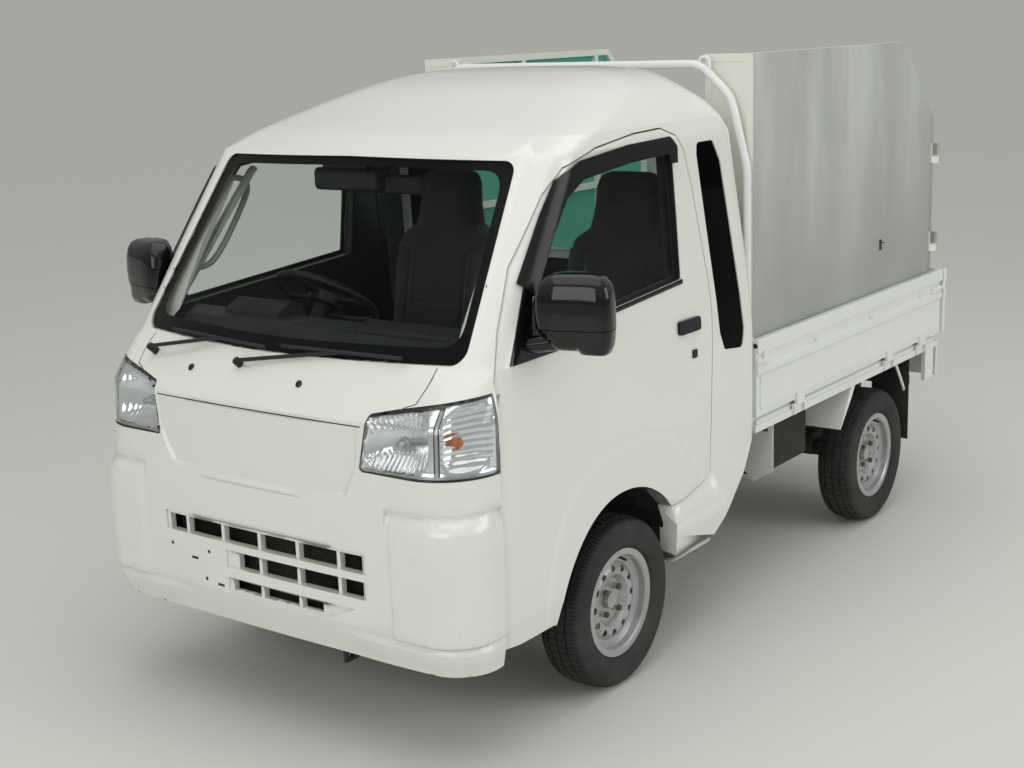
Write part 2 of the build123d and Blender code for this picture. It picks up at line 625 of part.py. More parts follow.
def box_door():
    """The left rear door of the box: sheet on a tube ring, with two hinge eyes."""
    y0, y1 = BOX_REAR_Y + 11, BOX_REAR_Y + 36
    low, high = 948.0, 1594.0
    ring = box(3, 700, y0, y1 - 2, low, high) - box(3 + TUBE, 700 - TUBE, y0 - 1, y1, low + TUBE, high - TUBE)
    ring += box(3, 700, y1 - 2, y1, low, high)
    for z in BOX_HINGES_Z:
        ring += box(699, BOX_HINGE_X, BOX_HINGE_Y - 6, BOX_HINGE_Y + 6, z - 8, z + 40)
        ring += cylinder_z(BOX_HINGE_X, BOX_HINGE_Y, z - 8, z + 40, 9)
        ring -= cylinder_z(BOX_HINGE_X, BOX_HINGE_Y, z - 20, z + 60, BOX_PIN_R + 0.3)
    return ring


TYRE_SIDES = 48


def tyre(x, y):
    """Tyre carcass as a ring of flat facets round the wheel's axis, one corner down, open where the rim sits."""
    half = TYRE_W / 2
    # Columns: distance from the tyre's middle, radius
    profile = [(50.0, RIM_R + 1), (50.0, FLANGE_R + 1), (60.0, FLANGE_R + 4), (half, 207.0), (half - 3, 247.0),
               (half - 18, 264.0), (32.0, TYRE_R)]
    profile = [(-a, r) for a, r in profile] + profile[::-1]
    turns = [radians(k * 360 / TYRE_SIDES) for k in range(TYRE_SIDES)]
    facets = []
    for turn, following in zip(turns, turns[1:] + turns[:1]):
        for (a, r), (b, s) in zip(profile, profile[1:] + profile[:1]):
            corners = [(a, r * sin(turn), -r * cos(turn)), (b, s * sin(turn), -s * cos(turn)),
                       (b, s * sin(following), -s * cos(following)), (a, r * sin(following), -r * cos(following))]
            facets.append(Face(Wire.make_polygon(corners, close=True)))
    return Pos(x, y, AXLE_Z) * Solid(Shell(facets))


def rim(x, y):
    """Steel wheel for the left side: rolled rim, dished disc with a ring of holes, hub and nuts."""
    w = RIM_W / 2
    section = [(-w, FLANGE_R), (-w + 6, FLANGE_R), (-w + 8, RIM_R), (-22, RIM_R), (-14, RIM_R - 16), (22, RIM_R - 16),
               (30, RIM_R), (w - 8, RIM_R), (w - 6, FLANGE_R), (w, FLANGE_R), (w, RIM_R - 1), (w - 5, RIM_R - 6),
               (33, RIM_R - 6), (26, RIM_R - 21), (24, 124), (34, 104), (30, 84), (10, 70), (8, 27), (4, 27),
               (4, 72), (24, 88), (28, 104), (18, 124), (19, RIM_R - 21), (-16, RIM_R - 21), (-24, RIM_R - 6),
               (-w, RIM_R - 6)]
    wheel = revolve(make_face(Polyline(*section, close=True)), axis=Axis.X)
    for k in range(12):
        wheel -= Rot(k * 30, 0, 0) * Pos(20, 0, 104) * Rot(0, 90, 0) * Cylinder(11, 60)
    hub = cylinder_x(-34, 4, 0, 0, 66) + cylinder_x(0, 26, 0, 0, 24)
    for k in range(4):
        hub += Rot(45 + k * 90, 0, 0) * cylinder_x(0, 24, 0, 50, 9.5)
    return Pos(x, y, AXLE_Z) * (wheel + hub)


def on_steering_axis(height):
    """The point of the left steering axis at a height."""
    part = (height - STEER_LOW[2]) / (STEER_TOP[2] - STEER_LOW[2])
    return tuple(a + (b - a) * part for a, b in zip(STEER_LOW, STEER_TOP))


def knuckle():
    """The left steering knuckle: upright on the steering axis, stub axle and steering arm."""
    y = FRONT_AXLE_Y
    upright = rod(on_steering_axis(182), on_steering_axis(392), 24)
    stub = cylinder_x(552, 616, y, AXLE_Z, 42)
    arm = rod(on_steering_axis(212), (520, y + 125, 208), 11)
    return upright + stub + arm


def front_suspension():
    """Struts, lower arms and the steering rack, in their parked place."""
    y = FRONT_AXLE_Y
    pieces = []
    strut = rod(on_steering_axis(394), on_steering_axis(612), 17)
    strut += rod(on_steering_axis(470), on_steering_axis(478), 52)
    strut += rod(on_steering_axis(478), on_steering_axis(600), 42)
    strut += rod(on_steering_axis(600), on_steering_axis(612), 54)
    arm = rod((350, y - 20, 178), (586, y, 158), 15) + rod((590, y, 148), (590, y, 176), 22)
    for side in (lambda shape: shape, mirrored):
        pieces += [side(strut), side(arm)]
    beam = box(-380, 380, y - 60, y + 20, 150, 200)
    beam += box(-380, -320, y - 60, y + 160, 190, 330) + box(320, 380, y - 60, y + 160, 190, 330)
    beam += cylinder_x(-400, 400, y + 130, 212, 20)
    return [pieces[0], pieces[2], pieces[1] + pieces[3] + beam]


EYE_R = 13.0


def chassis_frame():
    """Ladder frame: two cranked side rails joined by cross members, a rear bar and tow eyes."""
    rail_line = [(-1580, 330), (260, 330), (480, 500), (1640, 500), (1640, 590), (430, 590), (210, 398), (-1580, 398)]
    frame = side_prism(rail_line, 320, 372) + side_prism(rail_line, -372, -320)
    # Columns: member's Y, lower and upper height
    for y, low, high in [(-1558, 335, 395), (-1180, 335, 395), (-20, 335, 375), (480, 515, 585), (700, 505, 585),
                         (1240, 505, 585), (1610, 505, 585)]:
        frame += box(-330, 330, y - 22, y + 22, low, high)
    frame += box(-600, 600, 1618, 1650, 420, 462)
    frame += box(-352, -322, 1618, 1640, 450, 510) + box(322, 352, 1618, 1640, 450, 510)
    frame += box(240, 252, -1623, -1545, 238, 345) - cylinder_x(200, 300, -1600, 262, EYE_R)
    frame += box(240, 252, 1618, 1694, 417, 465) - cylinder_x(200, 300, 1668, 441, EYE_R)
    return frame


def rear_axle():
    """Live rear axle on two leaf springs, with the propeller shaft."""
    y = REAR_AXLE_Y
    axle = cylinder_x(-585, 585, y, AXLE_Z, 34)
    axle += Pos(0, y, AXLE_Z) * Sphere(105)
    axle += rod((0, y - 60, AXLE_Z + 5), (0, 300, 330), 26) + rod((0, 300, 330), (0, -60, 425), 26)
    for side in (-1, 1):
        x = side * 430
        for k, reach in enumerate((430, 330, 220)):
            axle += box(x - 30, x + 30, y - reach, y + reach, AXLE_Z + 34 + 9 * k - 0.5, AXLE_Z + 34 + 9 * k + 9)
        axle += box(x - 34, x + 34, y - 55, y + 55, AXLE_Z - 20, AXLE_Z + 70)
        axle += rod((x, y, AXLE_Z + 50), (x, y, 480), 20)
        for reach in (-420, 420):
            hanger = box(372, 460, y + reach - 14, y + reach + 14, AXLE_Z + 36, 592)
            axle += hanger if side > 0 else mirrored(hanger)
    return axle


def exhaust():
    """Silencer and its pipe under the bed."""
    can = Pos(-560, 420, 400) * Rot(90, 0, 0) * Cylinder(82, 380)
    can += rod((-560, 600, 400), (-560, 660, 400), 22)
    can += rod((-560, 240, 430), (-198, -74, 440), 20)
    for y in (300, 590):
        can += box(-566, -554, y - 10, y + 10, 470, 600)
    return can


def fuel_tank():
    """Fuel tank hung between the rail and the bed's edge."""
    tank = fillet(box(400, 640, 175, 560, 380, 590).edges(), 24)
    return tank + box(430, 610, 290, 310, 580, 600)


def tail_lamps():
    """Lamp lenses on the rear faces of the plates under the bed's rear corners."""
    lamp = box(522, 700, 1657, 1672, 486, 594)
    return both(fillet(lamp.edges().filter_by(Axis.Y), 8))


def mud_guards():
    """Black flaps behind the rear wheels."""
    return both(box(560, 722, 1336, 1342, 262, 606))


def engine():
    """Plain block of the engine and gearbox under the seats, on four arms to the frame."""
    block = fillet(box(-190, 200, -640, -90, 300, 640).edges(), 15)
    for y in (-560, -170):
        block += box(-320, 320, y - 20, y + 20, 345, 385)
    return block


def build_fixed():
    """Everything that stays with the chassis."""
    whole_cab = cab()
    above = box(-900, 900, -1400, 200, ROOF_SEAM_Z, 2000)
    save("cab_shell", whole_cab - above)
    save("high_roof", whole_cab & above)
    save("front_bumper", bumper())
    save("windscreen", pane(front_prism(SCREEN, 40, -1700, -1000), GLASS_IN))
    save("fixed_windows", *windows_fixed())
    save("headlamps", *both(lamp_solid(3)))
    save("dashboard", dashboard())
    save("steering_wheel", steering_wheel())
    save("seat_driver", seat(-330, DRIVER_SEAT_FORWARD))
    save("seat_passenger", seat(330, 0))
    save("wipers", *wipers())
    save("cabin_mirror", cabin_mirror())
    save("guard_frame", guard_frame())
    save("chassis_frame", chassis_frame())
    save("engine_block", engine())
    save("front_suspension", *front_suspension())
    save("rear_axle", rear_axle())
    save("exhaust", exhaust())
    save("fuel_tank", fuel_tank())
    save("bed_floor", bed())
    save("box_frame", *both(box_frame()))
    save("box_skins", *both(box_skins()))
    save("box_linings", *both(box_linings()))
    save("tail_lamps", *tail_lamps())
    save("mud_guards", *mud_guards())


def build_moving():
    """Doors, gates, knuckles and wheels."""
    door = front_door()
    glass = pane(side_prism(WINDOW, 560, 800), DOOR_GLASS_IN)
    outside_mirror = mirror_piece()
    fittings = door_fittings()
    for side, turn in (("left", lambda s: s), ("right", mirrored)):
        save(f"door_{side}_shell", turn(door))
        save(f"door_{side}_glass", turn(glass))
        save(f"door_{side}_mirror", turn(outside_mirror))
        save(f"door_{side}_fittings", *[turn(piece) for piece in fittings])
        save(f"gate_{side}", turn(side_gate()))
        save(f"box_door_{side}", turn(box_door()))
        save(f"knuckle_{side}", turn(knuckle()))
        for end, y in (("front", FRONT_AXLE_Y), ("rear", REAR_AXLE_Y)):
            save(f"tyre_{end}_{side}", turn(tyre(WHEEL_X, y)))
            save(f"wheel_{end}_{side}", turn(rim(WHEEL_X, y)))
    save("tailgate", tailgate())


build_fixed()
build_moving()
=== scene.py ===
# %% [markdown]
# A kei truck with a raised cab roof stands on a pale studio floor. The rigid pieces come from the
# CAD frame, which Blender loads and never moves. This script gives every surface its finish, and
# adds the pieces that are too fine or too soft for the CAD: lamp reflectors, rubber seals, tyre
# tread, rivets, seat covers.

# %% Load the frame
import math

import bmesh
import bpy
import numpy
from mathutils import Matrix, Vector
from mathutils.bvhtree import BVHTree


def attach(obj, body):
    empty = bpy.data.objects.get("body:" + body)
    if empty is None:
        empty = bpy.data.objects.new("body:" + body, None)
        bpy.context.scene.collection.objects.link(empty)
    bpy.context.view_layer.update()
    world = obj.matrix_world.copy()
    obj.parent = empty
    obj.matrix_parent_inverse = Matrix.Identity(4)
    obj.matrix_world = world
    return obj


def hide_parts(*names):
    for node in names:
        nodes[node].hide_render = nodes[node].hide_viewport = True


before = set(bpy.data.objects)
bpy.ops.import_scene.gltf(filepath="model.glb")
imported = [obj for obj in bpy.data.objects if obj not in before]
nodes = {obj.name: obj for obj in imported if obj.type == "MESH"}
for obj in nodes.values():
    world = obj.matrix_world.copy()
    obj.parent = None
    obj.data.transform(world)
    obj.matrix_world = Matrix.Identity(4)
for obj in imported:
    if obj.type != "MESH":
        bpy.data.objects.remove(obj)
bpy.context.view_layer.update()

# %% [markdown]
# The camera stands where the photographer stood. Its place, angles and lens were solved from the
# wheels, the bed rails and the cab corners, so a render lies over the photograph. The camera leans
# over a little, which is its roll.

# %% Camera
CAMERA_PLACE = (3.1223, -4.6006, 2.0060)
CAMERA_AZIMUTH = 36.954
CAMERA_ELEVATION = 13.166
CAMERA_ROLL = -2.045
CAMERA_LENS = 53.71
SENSOR_WIDTH = 36.0


def photo_rotation(azimuth, elevation, roll):
    """The camera's turn: its right, up and back directions as the columns of a matrix."""
    a, e, r = (math.radians(v) for v in (azimuth, elevation, roll))
    back = Vector((math.sin(a) * math.cos(e), -math.cos(a) * math.cos(e), math.sin(e)))
    right = (-back).cross(Vector((0, 0, 1))).normalized()
    up = right.cross(-back)
    leaning_right = right * math.cos(r) + up * math.sin(r)
    leaning_up = up * math.cos(r) - right * math.sin(r)
    return Matrix((leaning_right, leaning_up, back)).transposed()


camera_data = bpy.data.cameras.new("photo_camera")
camera_data.lens = CAMERA_LENS
camera_data.sensor_width = SENSOR_WIDTH
camera_data.clip_start = 0.05
camera_data.clip_end = 200
camera = bpy.data.objects.new("photo_camera", camera_data)
turn = photo_rotation(CAMERA_AZIMUTH, CAMERA_ELEVATION, CAMERA_ROLL)
camera.matrix_world = Matrix.Translation(CAMERA_PLACE) @ turn.to_4x4()
bpy.context.scene.collection.objects.link(camera)
bpy.context.scene.camera = camera
print("Camera at", [round(v, 2) for v in camera.location])

# %% [markdown]
# A material is a small network of nodes. Real finishes are never one flat colour: paint has a slow
# drift of tone and a film of dust near the ground, sheet metal has streaks, cloth has a weave. A
# few helpers make those networks short to write. All patterns read Object coordinates, which are
# metres in the truck's own frame, so they don't slide.

# %% Material helpers
def new_material(name):
    """An empty material with a Principled shader: (material, node tree, shader)."""
    material = bpy.data.materials.new(name)
    material.use_nodes = True
    tree = material.node_tree
    tree.nodes.clear()
    shader = tree.nodes.new("ShaderNodeBsdfPrincipled")
    output = tree.nodes.new("ShaderNodeOutputMaterial")
    tree.links.new(shader.outputs[0], output.inputs[0])
    return material, tree, shader


def object_coordinates(tree, stretch=(1, 1, 1)):
    """Object coordinates, each axis multiplied by its stretch."""
    source = tree.nodes.new("ShaderNodeTexCoord")
    mapping = tree.nodes.new("ShaderNodeMapping")
    mapping.inputs["Scale"].default_value = stretch
    tree.links.new(source.outputs["Object"], mapping.inputs["Vector"])
    return mapping.outputs["Vector"]


def noise(tree, vector, scale, detail=3.0, roughness=0.55):
    """A cloudy pattern from 0 to 1, with scale clouds to the metre."""
    node = tree.nodes.new("ShaderNodeTexNoise")
    node.inputs["Scale"].default_value = scale
    node.inputs["Detail"].default_value = detail
    node.inputs["Roughness"].default_value = roughness
    tree.links.new(vector, node.inputs["Vector"])
    return node.outputs["Fac"]


def spread(tree, value, low, high, to_low=0.0, to_high=1.0):
    """Maps a value from low..high to another range, clamped."""
    node = tree.nodes.new("ShaderNodeMapRange")
    for socket, number in zip(("From Min", "From Max", "To Min", "To Max"), (low, high, to_low, to_high)):
        node.inputs[socket].default_value = number
    tree.links.new(value, node.inputs["Value"])
    return node.outputs["Result"]


def arithmetic(tree, operation, first, second):
    """One Math node; the second input may be a number."""
    node = tree.nodes.new("ShaderNodeMath")
    node.operation = operation
    tree.links.new(first, node.inputs[0])
    if isinstance(second, (int, float)):
        node.inputs[1].default_value = second
    else:
        tree.links.new(second, node.inputs[1])
    return node.outputs[0]


def times(tree, first, second):
    """The product of two values; the second may be a number."""
    return arithmetic(tree, "MULTIPLY", first, second)


def blend_colours(tree, factor, first, second):
    """A colour between first and second by factor; each is a colour or a socket."""
    node = tree.nodes.new("ShaderNodeMix")
    node.data_type = "RGBA"
    tree.links.new(factor, node.inputs["Factor"])
    for socket, colour in ((node.inputs[6], first), (node.inputs[7], second)):
        if isinstance(colour, tuple):
            socket.default_value = (*colour, 1.0)
        else:
            tree.links.new(colour, socket)
    return node.outputs[2]


def height_of(tree):
    """The height above the floor, in metres."""
    split = tree.nodes.new("ShaderNodeSeparateXYZ")
    tree.links.new(object_coordinates(tree), split.inputs[0])
    return split.outputs["Z"]


def relief(tree, shader, height, distance, strength=1.0):
    """Bumps the shader's surface by a height pattern, distance metres deep."""
    node = tree.nodes.new("ShaderNodeBump")
    node.inputs["Distance"].default_value = distance
    node.inputs["Strength"].default_value = strength
    tree.links.new(height, node.inputs["Height"])
    tree.links.new(node.outputs["Normal"], shader.inputs["Normal"])


def shade(colour, factor):
    """A colour made darker or lighter."""
    return tuple(min(1.0, c * factor) for c in colour)


# %% [markdown]
# Most rigid finishes share one recipe: a colour that drifts a little, a roughness that drifts with
# it, a fine grain in the surface, and dust that gathers towards the ground. Only the numbers
# differ, so one function makes them all.

# %% The common finish
DUST = (0.36, 0.33, 0.27)


def finish(name, colour, roughness, metallic=0.0, coat=0.0, drift=0.04, drift_scale=2.5, grain=(90.0, 0.0002),
           stretch=(1, 1, 1), dust=0.0, dust_top=0.75, specular=0.5):
    """A rigid finish. drift is how far the tone wanders; grain is (scale, depth in metres); dust is its most cover."""
    material, tree, shader = new_material(name)
    vector = object_coordinates(tree, stretch)
    clouds = noise(tree, vector, drift_scale, 5.0, 0.6)
    tone = blend_colours(tree, clouds, shade(colour, 1 - drift), shade(colour, 1 + drift))
    if dust:
        low = spread(tree, height_of(tree), dust_top, 0.2, 0.0, dust)
        patch = spread(tree, noise(tree, vector, 6.0, 6.0, 0.65), 0.35, 0.75)
        tone = blend_colours(tree, times(tree, low, patch), tone, DUST)
    tree.links.new(tone, shader.inputs["Base Color"])
    rough = spread(tree, noise(tree, vector, drift_scale * 3, 4.0, 0.6), 0.3, 0.7, roughness * 0.85,
                   min(1.0, roughness * 1.2))
    tree.links.new(rough, shader.inputs["Roughness"])
    shader.inputs["Metallic"].default_value = metallic
    shader.inputs["Coat Weight"].default_value = coat
    shader.inputs["Coat Roughness"].default_value = 0.06
    shader.inputs["Specular IOR Level"].default_value = specular
    scale, depth = grain
    relief(tree, shader, noise(tree, vector, scale, 2.0, 0.5), depth)
    return material


BODY_WHITE = (0.80, 0.80, 0.745)
bed_paint = finish("bed_paint", (0.80, 0.815, 0.795), 0.30, coat=0.4, drift=0.02, drift_scale=2.0, dust=0.22,
                   grain=(40.0, 0.00003))
tube_paint = finish("tube_paint", (0.80, 0.79, 0.72), 0.45, drift=0.04, drift_scale=6.0, dust=0.1)
lining_board = finish("lining_board", (0.10, 0.42, 0.33), 0.5, drift=0.06, drift_scale=4.0)
gloss_black = finish("gloss_black", (0.005, 0.005, 0.006), 0.07, coat=0.2, drift=0.1, grain=(20.0, 0.00001),
                     specular=0.4)
smoked_black = finish("smoked_black", (0.006, 0.007, 0.008), 0.22, drift=0.1, grain=(20.0, 0.00001), specular=0.3)
trim_black = finish("trim_black", (0.011, 0.012, 0.013), 0.55, drift=0.12, grain=(900.0, 0.0002))
seal_black = finish("seal_black", (0.010, 0.010, 0.011), 0.45, drift=0.2, grain=(400.0, 0.0001))
screen_black = finish("screen_black", (0.004, 0.004, 0.005), 0.5, drift=0.1, grain=(30.0, 0.00002), specular=0.1)
chassis_black = finish("chassis_black", (0.013, 0.012, 0.012), 0.6, drift=0.2, dust=0.18, specular=0.3)
raw_metal = finish("raw_metal", (0.07, 0.062, 0.055), 0.6, metallic=0.4, drift=0.4, drift_scale=9.0, dust=0.25)
rusty_metal = finish("rusty_metal", (0.14, 0.075, 0.045), 0.7, metallic=0.25, drift=0.45, drift_scale=60.0,
                     grain=(500.0, 0.0005))
wheel_silver = finish("wheel_silver", (0.46, 0.47, 0.475), 0.34, metallic=0.6, drift=0.10, drift_scale=14.0,
                      grain=(120.0, 0.0003), dust=0.10)
rubber_black = finish("rubber_black", (0.014, 0.013, 0.014), 0.7, drift=0.2, grain=(300.0, 0.0002), dust=0.10,
                      dust_top=0.9)
pale_trim = finish("pale_trim", (0.46, 0.50, 0.43), 0.4, drift=0.06, grain=(700.0, 0.0002))
bezel_grey = finish("bezel_grey", (0.55, 0.56, 0.55), 0.3, metallic=0.3, drift=0.05, grain=(50.0, 0.00002))
chrome = finish("lamp_chrome", (0.86, 0.87, 0.88), 0.13, metallic=1.0, drift=0.02, grain=(20.0, 0.00001))
print("Plain finishes:", len(bpy.data.materials))

# %% [markdown]
# The cab is one shell, white outside and dark inside. Where the paint ends is a matter of place: a
# point is inside when it lies on the inner side of every plane that runs along the walls. The
# material works that out from a short table of flat walls and from fans of planes round the
# corners. Low faces that look down wear dark underseal.

# %% Cab paint
# Columns: two points of the outer skin, the level direction along the wall, and the wall's thickness
CAB_WALLS = [
    ((0.737, 0, 0.500), (0.737, 0, 0.985), (0, 1, 0), 0.052),
    ((0.729, 0, 1.118), (0.683, 0, 1.652), (0, 1, 0), 0.052),
    ((0, -1.697, 0.500), (0, -1.690, 0.985), (1, 0, 0), 0.100),
    ((0, -1.598, 1.118), (0, -1.207, 1.652), (1, 0, 0), 0.050),
    ((0, -1.207, 1.652), (0, -1.085, 1.700), (1, 0, 0), 0.034),
    ((0, -1.085, 1.700), (0, -0.890, 1.760), (1, 0, 0), 0.034),
    ((0, -0.690, 1.820), (0, -0.520, 1.855), (1, 0, 0), 0.030),
    ((0.664, 0, 1.700), (0.615, 0, 1.760), (0, 1, 0), 0.034),
    ((0.615, 0, 1.760), (0.540, 0, 1.820), (0, 1, 0), 0.034),
    ((0.540, 0, 1.820), (0.430, 0, 1.855), (0, 1, 0), 0.030),
    ((0, -0.038, 0.500), (0, -0.038, 1.652), (1, 0, 0), 0.038),
    ((0, -0.080, 1.760), (0, -0.150, 1.820), (1, 0, 0), 0.034),
    ((0, -1.0, 0.400), (0, -0.5, 0.400), (1, 0, 0), 0.020),
]
for turned_by in (12, 30, 48, 66, 82):
    c, s = math.cos(math.radians(turned_by)), math.sin(math.radians(turned_by))
    CAB_WALLS += [
        ((0.496 + 0.24 * c, -1.418 - 0.24 * s, 0.500), (0.496 + 0.24 * c, -1.410 - 0.24 * s, 0.985), (s, c, 0), 0.055),
        ((0.603 + 0.126 * c, -1.391 - 0.126 * s, 1.118), (0.563 + 0.12 * c, -1.022 - 0.12 * s, 1.652), (s, c, 0), 0.052),
        ((0.563 + 0.12 * c, -1.022 - 0.12 * s, 1.652), (0.514 + 0.15 * c, -0.880 - 0.15 * s, 1.700), (s, c, 0), 0.036),
        ((0.514 + 0.15 * c, -0.880 - 0.15 * s, 1.700), (0.435 + 0.18 * c, -0.675 - 0.18 * s, 1.760), (s, c, 0), 0.034),
    ]
for turned_by in (25, 65):
    c, s = math.cos(math.radians(turned_by)), math.sin(math.radians(turned_by))
    CAB_WALLS.append(((0.60 + 0.13 * c, -0.17 + 0.13 * s, 1.118), (0.553 + 0.13 * c, -0.168 + 0.13 * s, 1.652),
                      (s, -c, 0), 0.040))
CAB_MIDDLE = Vector((0, -0.8, 1.2))
UNDERSEAL = (0.035, 0.034, 0.032)
INNER_TRIM = (0.014, 0.015, 0.016)


def inside_cab(tree):
    """1 inside the cab's inner walls, 0 outside."""
    folded = tree.nodes.new("ShaderNodeVectorMath")
    folded.operation = "ABSOLUTE"
    here = object_coordinates(tree)
    tree.links.new(here, folded.inputs[0])
    across = tree.nodes.new("ShaderNodeSeparateXYZ")
    tree.links.new(folded.outputs[0], across.inputs[0])
    straight = tree.nodes.new("ShaderNodeSeparateXYZ")
    tree.links.new(here, straight.inputs[0])
    place = tree.nodes.new("ShaderNodeCombineXYZ")
    for source, axis in ((across, "X"), (straight, "Y"), (straight, "Z")):
        tree.links.new(source.outputs[axis], place.inputs[axis])
    least = None
    for low, high, level, wall in CAB_WALLS:
        inwards = (Vector(high) - Vector(low)).cross(Vector(level)).normalized()
        if inwards.dot(CAB_MIDDLE - Vector(low)) < 0:
            inwards.negate()
        dot = tree.nodes.new("ShaderNodeVectorMath")
        dot.operation = "DOT_PRODUCT"
        tree.links.new(place.outputs[0], dot.inputs[0])
        dot.inputs[1].default_value = inwards
        depth = arithmetic(tree, "SUBTRACT", dot.outputs["Value"], inwards.dot(Vector(low)) + wall)
        least = depth if least is None else arithmetic(tree, "MINIMUM", least, depth)
    return arithmetic(tree, "GREATER_THAN", least, 0.0)


def cab_paint(name, colour, roughness=0.27):
    """Gloss body paint outside, dark trim inside, underseal on low faces that look down."""
    material, tree, shader = new_material(name)
    vector = object_coordinates(tree)
    clouds = noise(tree, vector, 2.0, 4.0, 0.6)
    tone = blend_colours(tree, clouds, shade(colour, 0.985), shade(colour, 1.01))
    film = times(tree, spread(tree, height_of(tree), 0.70, 0.25, 0.0, 0.12),
                 spread(tree, noise(tree, vector, 6.0, 6.0, 0.65), 0.35, 0.75))
    tone = blend_colours(tree, film, tone, DUST)
    facing = tree.nodes.new("ShaderNodeNewGeometry")
    split = tree.nodes.new("ShaderNodeSeparateXYZ")
    tree.links.new(facing.outputs["Normal"], split.inputs[0])
    below = times(tree, spread(tree, split.outputs["Z"], -0.5, -0.8), spread(tree, height_of(tree), 0.70, 0.66))
    tone = blend_colours(tree, below, tone, UNDERSEAL)
    inside = inside_cab(tree)
    tone = blend_colours(tree, inside, tone, INNER_TRIM)
    tree.links.new(tone, shader.inputs["Base Color"])
    matte = arithmetic(tree, "MAXIMUM", times(tree, inside, 0.6), times(tree, below, 0.7))
    tree.links.new(arithmetic(tree, "MAXIMUM", matte, roughness), shader.inputs["Roughness"])
    shader.inputs["Coat Weight"].default_value = 0.8
    shader.inputs["Coat Roughness"].default_value = 0.03
    return material


body_paint = cab_paint("body_paint", BODY_WHITE)
print("Cab paint has", len(body_paint.node_tree.nodes), "nodes")

# %% [markdown]
# Glass is a Principled shader with full transmission. Its solids are closed panes, so the light
# bends on its way in and straightens on its way out, as in a real window. The quarter windows at
# the sides are almost black and the rear window between them is clear, and both are one CAD node,
# so the tint changes with the distance from the middle.

# %% Glass
def glass(name, colour, roughness=0.0, ior=1.1):
    """A closed pane of glass, tinted by its colour."""
    material, tree, shader = new_material(name)
    smears = noise(tree, object_coordinates(tree), 3.0, 4.0, 0.6)
    tone = blend_colours(tree, smears, shade(colour, 0.98), shade(colour, 1.0))
    tree.links.new(tone, shader.inputs["Base Color"])
    shader.inputs["Roughness"].default_value = roughness
    shader.inputs["Transmission Weight"].default_value = 1.0
    shader.inputs["IOR"].default_value = ior
    return material


def side_distance(tree):
    """How far a point is from the truck's middle, in metres."""
    split = tree.nodes.new("ShaderNodeSeparateXYZ")
    tree.links.new(object_coordinates(tree), split.inputs[0])
    return arithmetic(tree, "ABSOLUTE", split.outputs["X"], 0.0)


QUARTER_TINT = (0.015, 0.016, 0.018)
clear_glass = glass("window_glass", (0.91, 0.95, 0.93))
lamp_glass = glass("lamp_glass", (0.97, 0.98, 0.99), ior=1.4)
rear_glass = glass("rear_glass", (0.88, 0.93, 0.91))
rear_tree = rear_glass.node_tree
quarter_part = spread(rear_tree, side_distance(rear_tree), 0.54, 0.56)
pane_tone = rear_tree.nodes["Principled BSDF"].inputs["Base Color"]
rear_tree.links.new(blend_colours(rear_tree, quarter_part, pane_tone.links[0].from_socket, QUARTER_TINT), pane_tone)
print("Glasses:", clear_glass.name, lamp_glass.name, rear_glass.name)

# %% [markdown]
# A rear lamp is one lens with three fields: red outwards, amber in the middle, clear towards the
# truck's middle. Fine ribs run across it.

# %% Rear lamp lens
def lamp_fields(name):
    """A ribbed lens whose colour changes across the lamp."""
    material, tree, shader = new_material(name)
    away = side_distance(tree)
    amber = spread(tree, away, 0.578, 0.580)
    red = spread(tree, away, 0.634, 0.636)
    tone = blend_colours(tree, amber, (0.62, 0.62, 0.60), (0.75, 0.22, 0.02))
    tone = blend_colours(tree, red, tone, (0.50, 0.008, 0.008))
    tree.links.new(tone, shader.inputs["Base Color"])
    shader.inputs["Roughness"].default_value = 0.12
    shader.inputs["Coat Weight"].default_value = 0.4
    ribs = tree.nodes.new("ShaderNodeTexWave")
    ribs.bands_direction = "Z"
    ribs.inputs["Scale"].default_value = 50.0
    tree.links.new(object_coordinates(tree), ribs.inputs["Vector"])
    relief(tree, shader, ribs.outputs["Fac"], 0.0008)
    return material


red_lens = lamp_fields("rear_lamp_lens")
print("Rear lamp lens:", red_lens.name)

# %% [markdown]
# The sheets on the box are bare aluminium that has stood in the weather: dull, with soft pale clouds, and pale wipes
# that run down from the top. Higher up, the sheet also carries a painted highlight: its colour is made lighter towards
# the top, standing in for the light from overhead.

# %% Weathered aluminium with a painted highlight at the top
def weathered_sheet_painted_top_light(name):
    """Bare dull aluminium with clouds and wipes, and a painted highlight that lightens it towards the top."""
    material, tree, shader = new_material(name)
    clouds = noise(tree, object_coordinates(tree, (1.0, 1.0, 0.75)), 1.6, 4.0, 0.55)
    wipes = noise(tree, object_coordinates(tree, (4.5, 4.5, 0.9)), 1.0, 5.0, 0.58)
    speckle = noise(tree, object_coordinates(tree), 55.0, 4.0, 0.7)
    tone = blend_colours(tree, spread(tree, clouds, 0.35, 0.68), (0.36, 0.372, 0.352), (0.46, 0.475, 0.45))
    # Painted highlight: from 1.05 m up to 1.75 m the sheet is made lighter, standing in for the overhead light; the
    # same ramp lets the pale wipes grow towards the top.
    high = spread(tree, height_of(tree), 1.05, 1.75)
    tone = blend_colours(tree, times(tree, high, 0.5), tone, (0.54, 0.56, 0.53))
    pale = times(tree, spread(tree, wipes, 0.45, 0.66, 0.0, 0.42), high)
    tone = blend_colours(tree, pale, tone, (0.78, 0.80, 0.77))
    tone = blend_colours(tree, spread(tree, speckle, 0.64, 0.74, 0.0, 0.25), tone, (0.20, 0.21, 0.195))
    tree.links.new(tone, shader.inputs["Base Color"])
    tree.links.new(spread(tree, clouds, 0.3, 0.7, 0.5, 0.62), shader.inputs["Roughness"])
    shader.inputs["Metallic"].default_value = 0.15
    relief(tree, shader, clouds, 0.0008)
    return material


aluminium_sheet = weathered_sheet_painted_top_light("weathered_sheet_painted_top_light")
print("Sheet:", aluminium_sheet.name)

# %% [markdown]
# Seat cloth is a fine weave: two sets of crossed threads, drawn with wave patterns, in dark grey.

